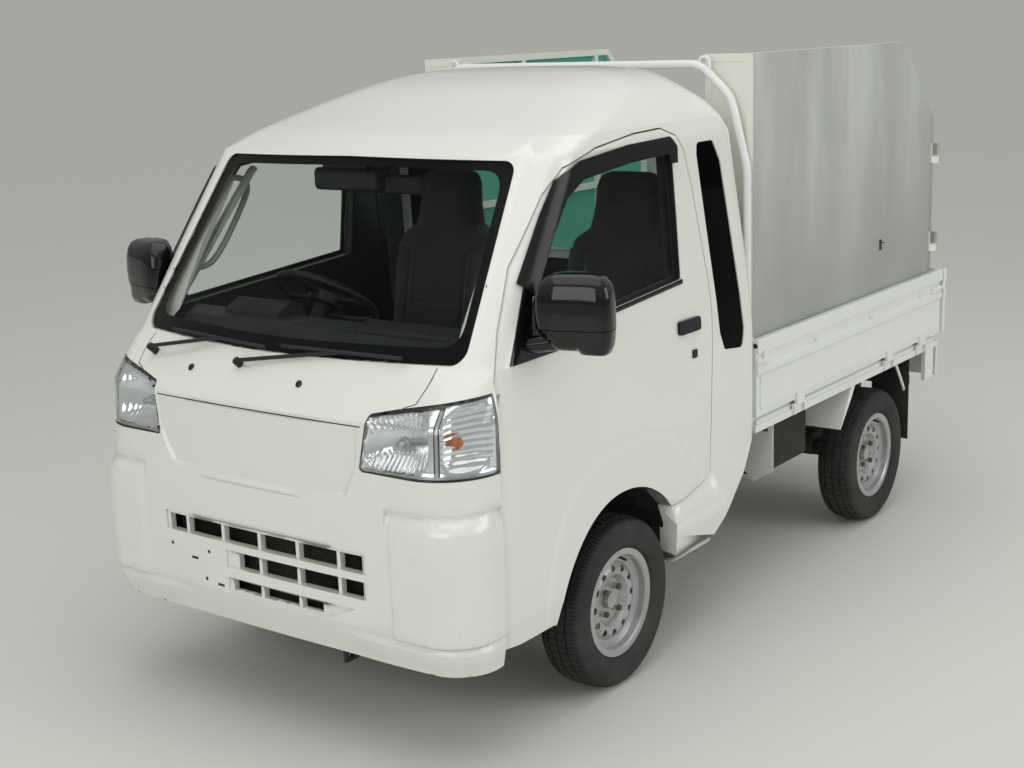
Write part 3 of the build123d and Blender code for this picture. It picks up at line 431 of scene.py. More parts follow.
# %% Seat cloth
def woven(name, colour, thread=0.0022):
    """Cloth with crossed threads of the given pitch."""
    material, tree, shader = new_material(name)
    vector = object_coordinates(tree)
    waves = []
    for direction in ("X", "Z"):
        wave = tree.nodes.new("ShaderNodeTexWave")
        wave.bands_direction = direction
        wave.inputs["Scale"].default_value = 0.314 / thread
        wave.inputs["Distortion"].default_value = 0.6
        tree.links.new(vector, wave.inputs["Vector"])
        waves.append(wave.outputs["Fac"])
    weave = times(tree, waves[0], waves[1])
    tone = blend_colours(tree, weave, shade(colour, 0.6), shade(colour, 1.5))
    worn = spread(tree, noise(tree, vector, 7.0, 4.0, 0.6), 0.3, 0.8, 0.0, 0.4)
    tone = blend_colours(tree, worn, tone, shade(colour, 1.7))
    tree.links.new(tone, shader.inputs["Base Color"])
    shader.inputs["Roughness"].default_value = 0.9
    shader.inputs["Sheen Weight"].default_value = 0.25
    relief(tree, shader, weave, 0.0006)
    return material


seat_cloth = woven("seat_cloth", (0.062, 0.062, 0.068))
print("Cloth:", seat_cloth.name)

# %% [markdown]
# Each CAD node gets the finish of its real surface. A node keeps its own mesh; only its material
# slot changes.

# %% Finishes on the CAD nodes
NODE_FINISH = {
    "cab_shell": body_paint, "high_roof": body_paint, "front_bumper": body_paint,
    "windscreen": clear_glass, "fixed_windows": rear_glass, "headlamps": lamp_glass,
    "dashboard": trim_black, "steering_wheel": trim_black,
    "seat_driver": seat_cloth, "seat_passenger": seat_cloth, "wipers": trim_black,
    "cabin_mirror": trim_black, "guard_frame": bed_paint, "chassis_frame": chassis_black,
    "engine_block": raw_metal, "front_suspension": raw_metal, "rear_axle": raw_metal,
    "exhaust": raw_metal, "fuel_tank": chassis_black, "bed_floor": bed_paint, "box_frame": tube_paint,
    "box_skins": aluminium_sheet, "box_linings": lining_board, "tail_lamps": red_lens,
    "mud_guards": rubber_black, "tailgate": bed_paint,
}
for side in ("left", "right"):
    NODE_FINISH.update({
        f"door_{side}_shell": body_paint, f"door_{side}_glass": clear_glass, f"door_{side}_mirror": gloss_black,
        f"door_{side}_fittings": smoked_black, f"gate_{side}": bed_paint, f"box_door_{side}": aluminium_sheet,
        f"knuckle_{side}": raw_metal,
    })
    for end in ("front", "rear"):
        NODE_FINISH[f"tyre_{end}_{side}"] = rubber_black
        NODE_FINISH[f"wheel_{end}_{side}"] = wheel_silver


def paint_node(name, material):
    """Gives a CAD node its finish, in every slot it has."""
    slots = nodes[name].data.materials
    slots.clear()
    slots.append(material)


for name, material in NODE_FINISH.items():
    paint_node(name, material)
print("Nodes with a finish:", len(NODE_FINISH), "of", len(nodes))

# %% [markdown]
# The real nose is flatter in plan than the solids, its corners are tighter, and its bumper ends in
# a raised block with a lip under it. The nose is therefore a finely cut copy of the CAD's surfaces,
# pushed outwards along rays from a point inside each corner. Every later piece of the chassis takes
# the same push, so lamps, seams and liners stay on the skin.

# %% Nose form
# Columns: height, front at the middle, half width, then the bow and corner radii of the CAD and of the real nose
NOSE_FORM = [
    (0.297, -1.665, 0.728, 3.345, 0.240, 14.0, 0.130), (0.400, -1.697, 0.737, 3.345, 0.240, 14.0, 0.130),
    (0.715, -1.697, 0.737, 3.345, 0.240, 14.0, 0.130), (0.765, -1.696, 0.737, 3.345, 0.240, 9.0, 0.178),
    (0.985, -1.690, 0.736, 3.345, 0.240, 6.0, 0.175), (1.118, -1.598, 0.729, 2.421, 0.126, 2.421, 0.126),
]
NOSE_BACK = -1.35
RAY_X = 0.40
BLOCK_X = 0.492
BLOCK_OUT = 0.007
LIP_OUT = 0.012


def ease(value, low, high):
    """0 at low, 1 at high, smooth between them."""
    part = max(0.0, min(1.0, (value - low) / (high - low)))
    return part * part * (3 - 2 * part)


def reach(start_x, way_x, way_y, front, half, bow, corner):
    """How far a ray from (start_x, NOSE_BACK) runs to the plan outline."""
    corner_x = half - corner
    bow_y = front + bow
    corner_y = bow_y - math.sqrt((bow - corner) ** 2 - corner_x ** 2)
    lean = math.atan2(corner_x, bow_y - corner_y)
    low, high = 0.0, 0.6
    for _ in range(18):
        middle = (low + high) / 2
        x, y = start_x + way_x * middle, NOSE_BACK + way_y * middle
        if x > corner_x and y < corner_y and math.atan2(x - corner_x, corner_y - y) >= lean:
            within = math.hypot(x - corner_x, y - corner_y) <= corner
        else:
            within = x <= half and math.hypot(x, y - bow_y) <= bow
        low, high = (middle, high) if within else (low, middle)
    return low


def relief_out(x, y, z):
    """The height of the bumper's blocks and lip over the plain corner."""
    block = ease(x, BLOCK_X - 0.006, BLOCK_X + 0.004) * ease(z, 0.383, 0.389) * (1 - ease(z, 0.665, 0.735))
    lip = ease(x, 0.28, 0.46) * (1 - ease(z, 0.366, 0.383)) * (0.45 + 0.55 * ease(z, 0.30, 0.35))
    return (BLOCK_OUT * block + LIP_OUT * lip) * (1 - ease(y, -1.54, -1.455))


def fuller_nose(mesh):
    """Pushes the mesh's vertices near the nose outwards to the real nose's outline."""
    for vertex in mesh.vertices:
        x, y, z = vertex.co
        if y > NOSE_BACK - 0.01 or z > NOSE_FORM[-1][0]:
            continue
        k = next((j for j in range(1, len(NOSE_FORM)) if z <= NOSE_FORM[j][0]), len(NOSE_FORM) - 1)
        below, above = NOSE_FORM[k - 1], NOSE_FORM[k]
        part = max(0.0, (z - below[0]) / (above[0] - below[0]))
        front, half, old_bow, old_corner, bow, corner = (a + (b - a) * part for a, b in zip(below[1:], above[1:]))
        start_x = min(abs(x), RAY_X)
        far = math.hypot(abs(x) - start_x, y - NOSE_BACK)
        way_x, way_y = (abs(x) - start_x) / far, (y - NOSE_BACK) / far
        old = reach(start_x, way_x, way_y, front, half, old_bow, old_corner)
        push = reach(start_x, way_x, way_y, front, half, bow, corner) - old
        push += relief_out(abs(x), y, z)
        push *= 1 - ease(old - far, 0.09, 0.20)
        vertex.co.x += math.copysign(way_x * push, x)
        vertex.co.y += way_y * push


def cut_nose(bm):
    """Cuts the nose's faces along planes, so that the push bends them smoothly."""
    block_cuts = (BLOCK_X - 0.006, BLOCK_X - 0.001, BLOCK_X + 0.004)
    cuts = [((s * x, 0, 0), (1, 0, 0)) for s in (-1, 1) for x in block_cuts]
    cuts += [((s * (0.30 + 0.0245 * k), 0, 0), (1, 0, 0)) for s in (-1, 1) for k in range(18)]
    cuts += [((0, 0, 0.305 + 0.03 * k), (0, 0, 1)) for k in range(27)]
    cuts += [((0, 0, z), (0, 0, 1)) for z in (0.350, 0.366, 0.374, 0.383, 0.389, 0.70)]
    cuts += [((0, -1.40 - 0.0225 * k, 0), (0, 1, 0)) for k in range(13)]
    for place, normal in cuts:
        near = [f for f in bm.faces
                if min(v.co.y for v in f.verts) < -1.38 and min(v.co.z for v in f.verts) < NOSE_FORM[-1][0]]
        edges = {edge for face in near for edge in face.edges}
        vertices = {vertex for face in near for vertex in face.verts}
        bmesh.ops.bisect_plane(bm, geom=near + list(edges) + list(vertices), dist=0.00002, plane_co=place,
                               plane_no=normal)


print("Nose rows:", len(NOSE_FORM))

# %% [markdown]
# Many of the added pieces lie on the cab's own skin: a seam follows the body, a rubber seal follows
# a window. Their places are found by sending a ray at the skin from the side or from the front, so
# no height or depth is guessed.

# %% Rays on the skin
def skin_of(*names):
    """A search tree over the surfaces of the named nodes."""
    points, faces = [], []
    for name in names:
        mesh = nodes[name].data
        start = len(points)
        points += [vertex.co.copy() for vertex in mesh.vertices]
        faces += [[start + k for k in face.vertices] for face in mesh.polygons]
    return BVHTree.FromPolygons(points, faces)


def on_side(skin, y, z, out=0.0, side=1):
    """(point, normal) where a ray from the side meets the skin, moved outwards."""
    place, normal = skin.ray_cast(Vector((side * 2.0, y, z)), Vector((-side, 0, 0)))[:2]
    return place + normal * out, normal


def on_front(skin, x, z, out=0.0):
    """(point, normal) where a ray from the front meets the skin, moved outwards."""
    place, normal = skin.ray_cast(Vector((x, -3.0, z)), Vector((0, 1, 0)))[:2]
    return place + normal * out, normal


cab_skin = skin_of("cab_shell", "front_bumper", "high_roof")
print("Hood at the middle:", [round(v, 3) for v in on_front(cab_skin, 0, 1.05)[0]])

# %% [markdown]
# Pieces come from a few mesh makers: a skin through rings of points, a strip of any section swept
# along a path, a tube along a curve, and a mirrored copy for the other side. Each closed form gets
# its normals recalculated, so its faces point outwards.

# %% Mesh makers
def finished(mesh, bm, angle=35):
    """Writes a closed form into the mesh with outward faces, smooth but for its sharp edges."""
    bmesh.ops.recalc_face_normals(bm, faces=bm.faces)
    bm.to_mesh(mesh)
    bm.free()
    mesh.shade_smooth()
    mesh.set_sharp_from_angle(angle=math.radians(angle))
    return mesh


def lofted(name, rings, closed=False, capped=True, angle=35):
    """A skin through rings that all have the same number of points."""
    bm = bmesh.new()
    loops = [[bm.verts.new(point) for point in ring] for ring in rings]
    count = len(loops[0])
    pairs = list(zip(loops, loops[1:])) + ([(loops[-1], loops[0])] if closed else [])
    for first, second in pairs:
        for k in range(count):
            bm.faces.new((first[k], first[(k + 1) % count], second[(k + 1) % count], second[k]))
    if capped and not closed:
        bm.faces.new(loops[0])
        bm.faces.new(loops[-1])
    return finished(bpy.data.meshes.new(name), bm, angle)


def swept(name, path, section, closed=False, angle=35):
    """A strip along (point, normal) pairs. The section's points are (across, outwards) from the path."""
    rings = []
    count = len(path)
    for k, (point, normal) in enumerate(path):
        before = path[k - 1 if closed or k else 0][0]
        after = path[(k + 1) % count if closed else min(k + 1, count - 1)][0]
        along = (after - before).normalized()
        across = normal.cross(along).normalized()
        upright = along.cross(across)
        rings.append([point + across * a + upright * b for a, b in section])
    return lofted(name, rings, closed, True, angle)


def sheet_of(name, grid, thickness, closed=False, angle=35):
    """A closed sheet over a grid of (point, normal) rows, thickened inwards."""
    rings = []
    for row in grid:
        front = [point for point, normal in row]
        back = [point - normal * thickness for point, normal in reversed(row)]
        rings.append(front + back)
    return lofted(name, rings, closed, True, angle)


def box_section(half_width, low, high):
    """A strip's plain section, from low to high outwards."""
    return [(-half_width, low), (half_width, low), (half_width, high), (-half_width, high)]


def made_by(source, modifier_kind="", **settings):
    """The mesh that an object gives, with one modifier if it is named."""
    maker = source if isinstance(source, bpy.types.Object) else bpy.data.objects.new("maker", source)
    bpy.context.scene.collection.objects.link(maker)
    if modifier_kind:
        modifier = maker.modifiers.new("step", modifier_kind)
        for key, value in settings.items():
            setattr(modifier, key, value)
    seen = maker.evaluated_get(bpy.context.evaluated_depsgraph_get())
    mesh = bpy.data.meshes.new_from_object(seen)
    bpy.data.objects.remove(maker)
    return mesh


def tube(name, points, radius, closed=False, sides=4):
    """A smooth round tube through the points."""
    curve = bpy.data.curves.new(name, "CURVE")
    curve.dimensions = "3D"
    curve.bevel_depth = radius
    curve.bevel_resolution = sides
    curve.resolution_u = 8
    curve.use_fill_caps = True
    spline = curve.splines.new("NURBS")
    spline.points.add(len(points) - 1)
    for knot, point in zip(spline.points, points):
        knot.co = (*point, 1.0)
    spline.order_u = 3
    spline.use_endpoint_u = not closed
    spline.use_cyclic_u = closed
    mesh = made_by(bpy.data.objects.new(name, curve))
    bm = bmesh.new()
    bm.from_mesh(mesh)
    bmesh.ops.remove_doubles(bm, verts=bm.verts, dist=0.00001)
    return finished(mesh, bm)


def flipped(mesh, name):
    """The same mesh on the other side of the truck."""
    copy = mesh.copy()
    copy.name = name
    copy.transform(Matrix.Scale(-1, 4, (1, 0, 0)))
    copy.flip_normals()
    return copy


def joined(name, meshes):
    """Several meshes as one."""
    bm = bmesh.new()
    for mesh in meshes:
        bm.from_mesh(mesh)
    whole = bpy.data.meshes.new(name)
    bm.to_mesh(whole)
    bm.free()
    whole.set_sharp_from_angle(angle=math.radians(35))
    return whole


def add_piece(name, mesh, material, body="chassis"):
    """Puts a finished mesh into the scene, on a body of the frame."""
    mesh.materials.clear()
    mesh.materials.append(material)
    if body == "chassis":
        fuller_nose(mesh)
    piece = bpy.data.objects.new(name, mesh)
    bpy.context.scene.collection.objects.link(piece)
    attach(piece, body)
    return piece


def add_pair(name, mesh, material, body="chassis"):
    """A piece on the left and its mirror image on the right; {side} in the body's name is filled in."""
    for side, shape in (("left", mesh), ("right", flipped(mesh, name))):
        add_piece(f"{name}_{side}", shape, material, body.format(side=side))


SIDES = (("left", 1), ("right", -1))
print("Mesh makers ready")

# %% [markdown]
# Outlines are written as a few corners, then rounded and divided evenly, so that two outlines with
# the same number of points can be joined into a band.

# %% Outlines
def rounded(corners, radius, steps=6):
    """A closed outline of 2-D corners with each corner replaced by a curve."""
    outline = []
    count = len(corners)
    for k in range(count):
        before, here, after = (Vector(corners[(k + j) % count]) for j in (-1, 0, 1))
        to_before, to_after = before - here, after - here
        cut = min(radius, to_before.length * 0.45, to_after.length * 0.45)
        start = here + to_before.normalized() * cut
        end = here + to_after.normalized() * cut
        for j in range(steps + 1):
            t = j / steps
            outline.append(start * (1 - t) ** 2 + here * 2 * t * (1 - t) + end * t * t)
    return outline


def evenly(outline, count, closed=True):
    """The outline divided into equal steps."""
    points = [Vector(p) for p in outline]
    if closed:
        points.append(points[0])
    lengths = [0.0]
    for a, b in zip(points, points[1:]):
        lengths.append(lengths[-1] + (b - a).length)
    result = []
    segment = 0
    for k in range(count):
        goal = lengths[-1] * k / (count if closed else count - 1)
        while segment < len(points) - 2 and lengths[segment + 1] < goal:
            segment += 1
        span = lengths[segment + 1] - lengths[segment]
        part = min(1.0, (goal - lengths[segment]) / span) if span else 0.0
        result.append(points[segment].lerp(points[segment + 1], part))
    return result


print("Outline makers ready")

# %% [markdown]
# Bolts, nuts, screws and rivets repeat all over the truck, so one Geometry Nodes tree makes them:
# it puts a small many-sided head on every point of a mesh and turns it to the direction kept on
# that point. Six sides make a nut, twelve a rivet.

# %% Fasteners by Geometry Nodes
def node_tree(name, inputs):
    """A Geometry Nodes tree with a geometry input and the named inputs: (tree, input node, output node, ids)."""
    tree = bpy.data.node_groups.new(name, "GeometryNodeTree")
    tree.interface.new_socket("Geometry", in_out="INPUT", socket_type="NodeSocketGeometry")
    tree.interface.new_socket("Geometry", in_out="OUTPUT", socket_type="NodeSocketGeometry")
    ids = {}
    for title, kind in inputs:
        ids[title] = tree.interface.new_socket(title, in_out="INPUT", socket_type=f"NodeSocket{kind}").identifier
    return tree, tree.nodes.new("NodeGroupInput"), tree.nodes.new("NodeGroupOutput"), ids


def end_tree(tree, start, end, copies, weld=False):
    """Makes the copies real and gives them the finish; with weld, joins the points that meet."""
    made = tree.nodes.new("GeometryNodeRealizeInstances")
    tree.links.new(copies, made.inputs["Geometry"])
    if weld:
        joint = tree.nodes.new("GeometryNodeMergeByDistance")
        tree.links.new(made.outputs["Geometry"], joint.inputs["Geometry"])
        tree.links.new(start.outputs["Weld"], joint.inputs["Distance"])
        made = joint
    painted = tree.nodes.new("GeometryNodeSetMaterial")
    tree.links.new(made.outputs["Geometry"], painted.inputs["Geometry"])
    tree.links.new(start.outputs["Finish"], painted.inputs["Material"])
    tree.links.new(painted.outputs["Geometry"], end.inputs["Geometry"])


def grown(mesh, tree, ids, values):
    """The plain mesh that a tree makes from a mesh."""
    maker = bpy.data.objects.new("maker", mesh)
    bpy.context.scene.collection.objects.link(maker)
    modifier = maker.modifiers.new("tree", "NODES")
    modifier.node_group = tree
    for title, value in values.items():
        modifier[ids[title]] = value
    seen = maker.evaluated_get(bpy.context.evaluated_depsgraph_get())
    result = bpy.data.meshes.new_from_object(seen)
    bpy.data.objects.remove(maker)
    return result


def fastener_tree():
    """Heads on points: each head stands along the point's facing attribute."""
    inputs = [("Sides", "Int"), ("Radius", "Float"), ("Height", "Float"), ("Top", "Float"), ("Finish", "Material")]
    tree, start, end, ids = node_tree("fastener_heads", inputs)
    add, link = tree.nodes.new, tree.links.new
    facing = add("GeometryNodeInputNamedAttribute")
    facing.data_type = "FLOAT_VECTOR"
    facing.inputs["Name"].default_value = "facing"
    turn = add("FunctionNodeAlignRotationToVector")
    turn.axis = "Z"
    link(facing.outputs["Attribute"], turn.inputs["Vector"])
    head = add("GeometryNodeMeshCone")
    for socket, title in (("Vertices", "Sides"), ("Radius Bottom", "Radius"), ("Radius Top", "Top"),
                          ("Depth", "Height")):
        link(start.outputs[title], head.inputs[socket])
    spots = add("GeometryNodeInstanceOnPoints")
    link(start.outputs["Geometry"], spots.inputs["Points"])
    link(head.outputs["Mesh"], spots.inputs["Instance"])
    link(turn.outputs["Rotation"], spots.inputs["Rotation"])
    end_tree(tree, start, end, spots.outputs["Instances"])
    return tree, ids


FASTENERS, FASTENER_IDS = fastener_tree()


def fasteners(name, spots, sides, radius, height, material, body="chassis", top=None):
    """Heads at (point, facing) spots, as one piece on a body."""
    mesh = bpy.data.meshes.new(name)
    mesh.from_pydata([tuple(point) for point, facing in spots], [], [])
    attribute = mesh.attributes.new("facing", "FLOAT_VECTOR", "POINT")
    for k, (point, facing) in enumerate(spots):
        attribute.data[k].vector = tuple(facing)
    values = {"Sides": sides, "Radius": radius, "Height": height, "Top": radius * 0.75 if top is None else top,
              "Finish": material}
    return add_piece(name, grown(mesh, FASTENERS, FASTENER_IDS, values), material, body)


print("Fastener tree has", len(FASTENERS.nodes), "nodes")

# %% [markdown]
# The cab's shell and the bumper are replaced by finely cut copies of themselves, which take the
# nose's push.

# %% Cab and bumper skins
def merged_copy(node):
    """A CAD node's mesh with its loose triangles joined."""
    bm = bmesh.new()
    bm.from_mesh(nodes[node].data)
    bmesh.ops.remove_doubles(bm, verts=bm.verts, dist=0.00002)
    return bm


for node, name in (("cab_shell", "cab_skin"), ("front_bumper", "bumper_skin")):
    bm = merged_copy(node)
    cut_nose(bm)
    skin_mesh = bpy.data.meshes.new(name)
    bm.to_mesh(skin_mesh)
    bm.free()
    skin_piece = add_piece(name, skin_mesh, body_paint)
    skin_mesh.shade_smooth()
    skin_mesh.set_sharp_from_angle(angle=math.radians(28))
    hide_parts(node)
    print(name, "faces:", len(skin_mesh.polygons))

# %% [markdown]
# A headlamp is a clear lens over a housing with two bright bowls: the wide main bowl, and round the
# corner a narrow one with an amber bulb. The CAD solid gives the lens: its outer faces are kept and
# get a thickness. Its other faces are the housing's walls. The bowls are grids bent from the plan
# curve of the cab's nose, with pressed flutes.

# %% Headlamp lenses and housing
def lamp_part(name, keep_outer, thickness):
    """The lamp's outer faces or its pocket walls, with a thickness inwards from the outside."""
    bm = merged_copy("headlamps")
    cut_nose(bm)
    for face in list(bm.faces):
        side = 1 if face.calc_center_median().x > 0 else -1
        outer = face.normal.dot(Vector((side * 0.55, -0.83, 0))) > 0.3
        if outer != keep_outer:
            bm.faces.remove(face)
    for vertex in [v for v in bm.verts if not v.link_faces]:
        bm.verts.remove(vertex)
    mesh = bpy.data.meshes.new(name)
    bm.to_mesh(mesh)
    bm.free()
    return made_by(mesh, "SOLIDIFY", thickness=thickness, offset=-1.0, use_even_offset=False)


lenses = add_piece("headlamp_lenses", lamp_part("headlamp_lenses", True, 0.0025), lamp_glass)
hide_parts("headlamps")
add_piece("headlamp_housing", lamp_part("headlamp_housing", False, 0.002), bezel_grey)
print("Lens faces:", len(lenses.data.polygons))

# %% Headlamp bowls
LAMP_FOOT = 0.857
# Columns: height, front at the middle, half width, bow radius of the front, front corner radius
NOSE_ROWS = [(0.740, -1.6975, 0.737, 3.345, 0.240), (0.985, -1.690, 0.736, 3.345, 0.240),
             (1.118, -1.598, 0.729, 2.421, 0.126)]


def nose_point(x, z, depth):
    """A point of the nose's plan curve at x, moved inwards along the curve's normal."""
    low, high = NOSE_ROWS[:2] if z < 0.985 else NOSE_ROWS[1:]
    part = (z - low[0]) / (high[0] - low[0])
    front, half, bow, corner = (a + (b - a) * part for a, b in zip(low[1:], high[1:]))
    bow_y = front + bow
    corner_x = half - corner
    corner_y = bow_y - math.sqrt((bow - corner) ** 2 - corner_x ** 2)
    if x < bow * corner_x / (bow - corner):
        centre, radius = Vector((0, bow_y)), bow
    else:
        centre, radius = Vector((corner_x, corner_y)), corner
    skin = Vector((x, centre.y - math.sqrt(max(radius ** 2 - (x - centre.x) ** 2, 0.0))))
    inwards = (centre - skin).normalized()
    place = skin + inwards * depth
    return Vector((place.x, place.y, z)), Vector((-inwards.x, -inwards.y, 0))


def lamp_top(x):
    """The lamp's upper edge."""
    return 1.001 + max(0.0, x - 0.425) * 0.20


def bowl(name, x0, x1, columns, rows, rim, deep, flutes, ribs):
    """A pressed reflector between x0 and x1: a flat rim, a round hollow, upright flutes or level ribs in it."""
    grid = []
    for i in range(columns + 1):
        u = i / columns
        x = x0 + (x1 - x0) * u
        row = []
        for j in range(rows + 1):
            v = j / rows
            z = LAMP_FOOT + (lamp_top(x) - 0.004 - LAMP_FOOT) * v
            off_middle = (abs(2 * u - 1) ** 4 + abs(2 * v - 1) ** 4) ** 0.25
            hollow = max(0.0, 1 - (min(off_middle, 0.9) / 0.9) ** 2.6)
            depth = rim + deep * hollow
            if flutes and hollow > 0.02 and (v < 0.32 or v > 0.68):
                depth += 0.0018 * math.sin(2 * math.pi * u * flutes)
            if ribs and hollow > 0.02:
                depth += 0.0016 * math.sin(2 * math.pi * v * ribs)
            row.append(nose_point(x, z, depth))
        grid.append(row)
    return sheet_of(name, grid, 0.0012, angle=60)


main_bowl = bowl("lamp_bowl", 0.403, 0.613, 112, 28, 0.009, 0.052, 15, 0)
side_bowl = bowl("lamp_corner_bowl", 0.626, 0.7215, 24, 60, 0.009, 0.030, 0, 11)
add_pair("lamp_bowl", main_bowl, chrome)
add_pair("lamp_corner_bowl", side_bowl, chrome)
print("Bowl faces:", len(main_bowl.polygons), len(side_bowl.polygons))

# %% Headlamp bulbs, divider and edge
def turned(name, profile, base, axis, sides=24):
    """A round form turned about an axis from (distance, radius) pairs."""
    axis = axis.normalized()
    first = axis.orthogonal().normalized()
    second = axis.cross(first)
    rings = []
    for distance, radius in profile:
        rings.append([base + axis * distance + (first * math.cos(a) + second * math.sin(a)) * radius
                      for a in (2 * math.pi * k / sides for k in range(sides))])
    return lofted(name, rings)


amber = finish("amber_bulb", (0.75, 0.20, 0.03), 0.25, drift=0.05, grain=(30.0, 0.00002))
BULB = [(0, 0.016), (0.004, 0.016), (0.006, 0.010), (0.026, 0.010), (0.030, 0.0085), (0.032, 0.004)]
AMBER_BULB = [(0, 0.010), (0.004, 0.013), (0.012, 0.015), (0.019, 0.013), (0.024, 0.008), (0.026, 0.003)]
for name, profile, place, material in (("lamp_bulb", BULB, (0.508, 0.928, 0.060), bezel_grey),
                                       ("lamp_amber_bulb", AMBER_BULB, (0.662, 0.945, 0.041), amber)):
    base, facing = nose_point(*place)
    add_pair(name, turned(name, profile, base, facing), material)
wall = [nose_point(0.6195, LAMP_FOOT + k * 0.0175, 0) for k in range(11)]
wall_section = [(-0.004, -0.006), (0.004, -0.006), (0.0035, -0.055), (-0.0035, -0.055)]
ledge = [nose_point(0.402 + k * 0.0106, LAMP_FOOT, 0) for k in range(31)]
ledge_section = box_section(0.004, -0.0045, -0.030)
for name, path, section in (("lamp_divider", wall, wall_section), ("lamp_ledge", ledge, ledge_section)):
    add_pair(name, swept(name, path, section), bezel_grey)


def edge_loops(bm):
    """The closed rings of edges that have one face, each as a list of vertices."""
    open_edges = {edge for edge in bm.edges if len(edge.link_faces) == 1}
    loops = []
    while open_edges:
        edge = open_edges.pop()
        loop = [edge.verts[0], edge.verts[1]]
        while True:
            following = [e for e in loop[-1].link_edges if e in open_edges]
            if not following:
                break
            open_edges.remove(following[0])
            loop.append(following[0].other_vert(loop[-1]))
        if loop[0] == loop[-1]:
            loop.pop()
        loops.append(loop)
    return loops


bm = merged_copy("headlamps")
for face in list(bm.faces):
    if face.calc_center_median().x < 0 or face.normal.dot(Vector((0.55, -0.83, 0))) <= 0.3:
        bm.faces.remove(face)
rim = max(edge_loops(bm), key=len)
rim_points = evenly([vertex.co for vertex in rim], 150)
bm.free()
centre = sum(rim_points, Vector()) / len(rim_points)
gasket = [(point, (Vector((0.35, -0.9, 0)) + (point - centre) * 0.6).normalized()) for point in rim_points]
gasket_section = [(-0.0022, -0.003), (0.0022, -0.003), (0.0022, 0.0002), (0.001, 0.0010), (-0.001, 0.0010),
                  (-0.0022, 0.0002)]
add_pair("lamp_gasket", swept("lamp_gasket", gasket, gasket_section, True), seal_black)
print("Gasket length:", round(sum((a - b).length for a, b in zip(rim_points, rim_points[1:])), 3), "m")

# %% [markdown]
# Behind the windscreen's edge the glass is printed black. That border is its own thin sheet just
# behind the glass: wide at the foot, narrow at the sides and the top. Its rows lie between the
# opening's outline and a smaller one. A ray that misses the glass and meets something inside the
# cab is replaced by a point straight on from the border.

# %% Windscreen border
SCREEN_EDGE = [(-0.636, 1.128), (0, 1.123), (0.636, 1.128), (0.572, 1.640), (0, 1.648), (-0.572, 1.640)]
SCREEN_CLEAR = [(-0.600, 1.172), (0, 1.165), (0.600, 1.172), (0.540, 1.616), (0, 1.625), (-0.540, 1.616)]
SCREEN_STRAY = 0.02
screen_skin = skin_of("windscreen", "cab_shell", "high_roof")
outer = evenly(rounded(SCREEN_EDGE, 0.056), 180)
inner = evenly(rounded(SCREEN_CLEAR, 0.06), 180)
grid = []
for a, b in zip(outer, inner):
    row = [on_front(screen_skin, *a.lerp(b, part), -0.0062) for part in (-0.25, 0.0, 0.3, 0.6, 1.0)]
    near, facing = row[2]
    for k, steps in ((1, 1.0), (0, 1.83)):
        straight = near + (near - row[3][0]) * steps
        if abs(row[k][0].y - straight.y) > SCREEN_STRAY:
            row[k] = (straight, facing)
    grid.append(row)
add_piece("windscreen_border", sheet_of("windscreen_border", grid, 0.0008, True, 60), screen_black)
print("Border points:", len(grid) * 5)

# %% [markdown]
# Rubber follows the door window: a channel lines the opening down to the glass, and a belt seal
# lies along the glass's lower edge. Both are strips swept along the outline, with the section of
# the real moulding.

# %% Door window seals
WINDOW = [(-1.380, 1.160), (-1.304, 1.322), (-1.203, 1.480), (-1.130, 1.568), (-1.027, 1.615), (-0.763, 1.641),
          (-0.530, 1.648), (-0.502, 1.620), (-0.506, 1.420), (-0.514, 1.221)]
door_skin = skin_of("door_left_shell")
outline = evenly(rounded(WINDOW, 0.012), 140)
middle = sum(outline, Vector((0, 0))) / len(outline)
channel = []
for point in outline:
    beside = point + (point - middle).normalized() * 0.004
    place, normal = on_side(door_skin, beside.x, beside.y)
    channel.append((Vector((place.x, point.x, point.y)), normal))
outer_section = [(-0.0006, -0.001), (-0.0035, -0.001), (-0.0035, -0.0165), (-0.016, -0.0165), (-0.016, -0.0194),
                 (-0.0006, -0.0194)]
inner_section = [(-0.0006, -0.0256), (-0.0035, -0.0256), (-0.0035, -0.0585), (-0.0006, -0.0585)]
for name, section in (("window_channel", outer_section), ("window_inner_channel", inner_section)):
    add_pair(name, swept(name, channel, section, True), seal_black, "door_{side}")
belt = []
for k in range(36):
    y = -1.215 + k * 0.0202
    belt.append(on_side(door_skin, y, 1.160 + (y + 1.380) / 0.866 * 0.061 - 0.009))
belt_section = [(-0.008, -0.001), (0.008, -0.001), (0.008, 0.003), (0.003, 0.0045), (-0.006, 0.003)]
add_pair("belt_seal", swept("belt_seal", belt, belt_section), gloss_black, "door_{side}")
print("Window outline points:", len(channel), "belt seal points:", len(belt))

# %% [markdown]
# The door's skin swells round the wheel arch and ends above it in a soft crease. The swelling is a
# thin shell on the door: from nothing at the crease it rises to five millimetres, and its foot
# rounds off the arch's edge.

# %% Pressed arch crease
def eased(points, rounds=2):
    """The line with its corners cut, its ends kept."""
    points = [Vector(p) for p in points]
    for _ in range(rounds):
        cut = [points[0]]
        for a, b in zip(points, points[1:]):
            cut += [a.lerp(b, 0.25), a.lerp(b, 0.75)]
        points = cut + [points[-1]]
    return points


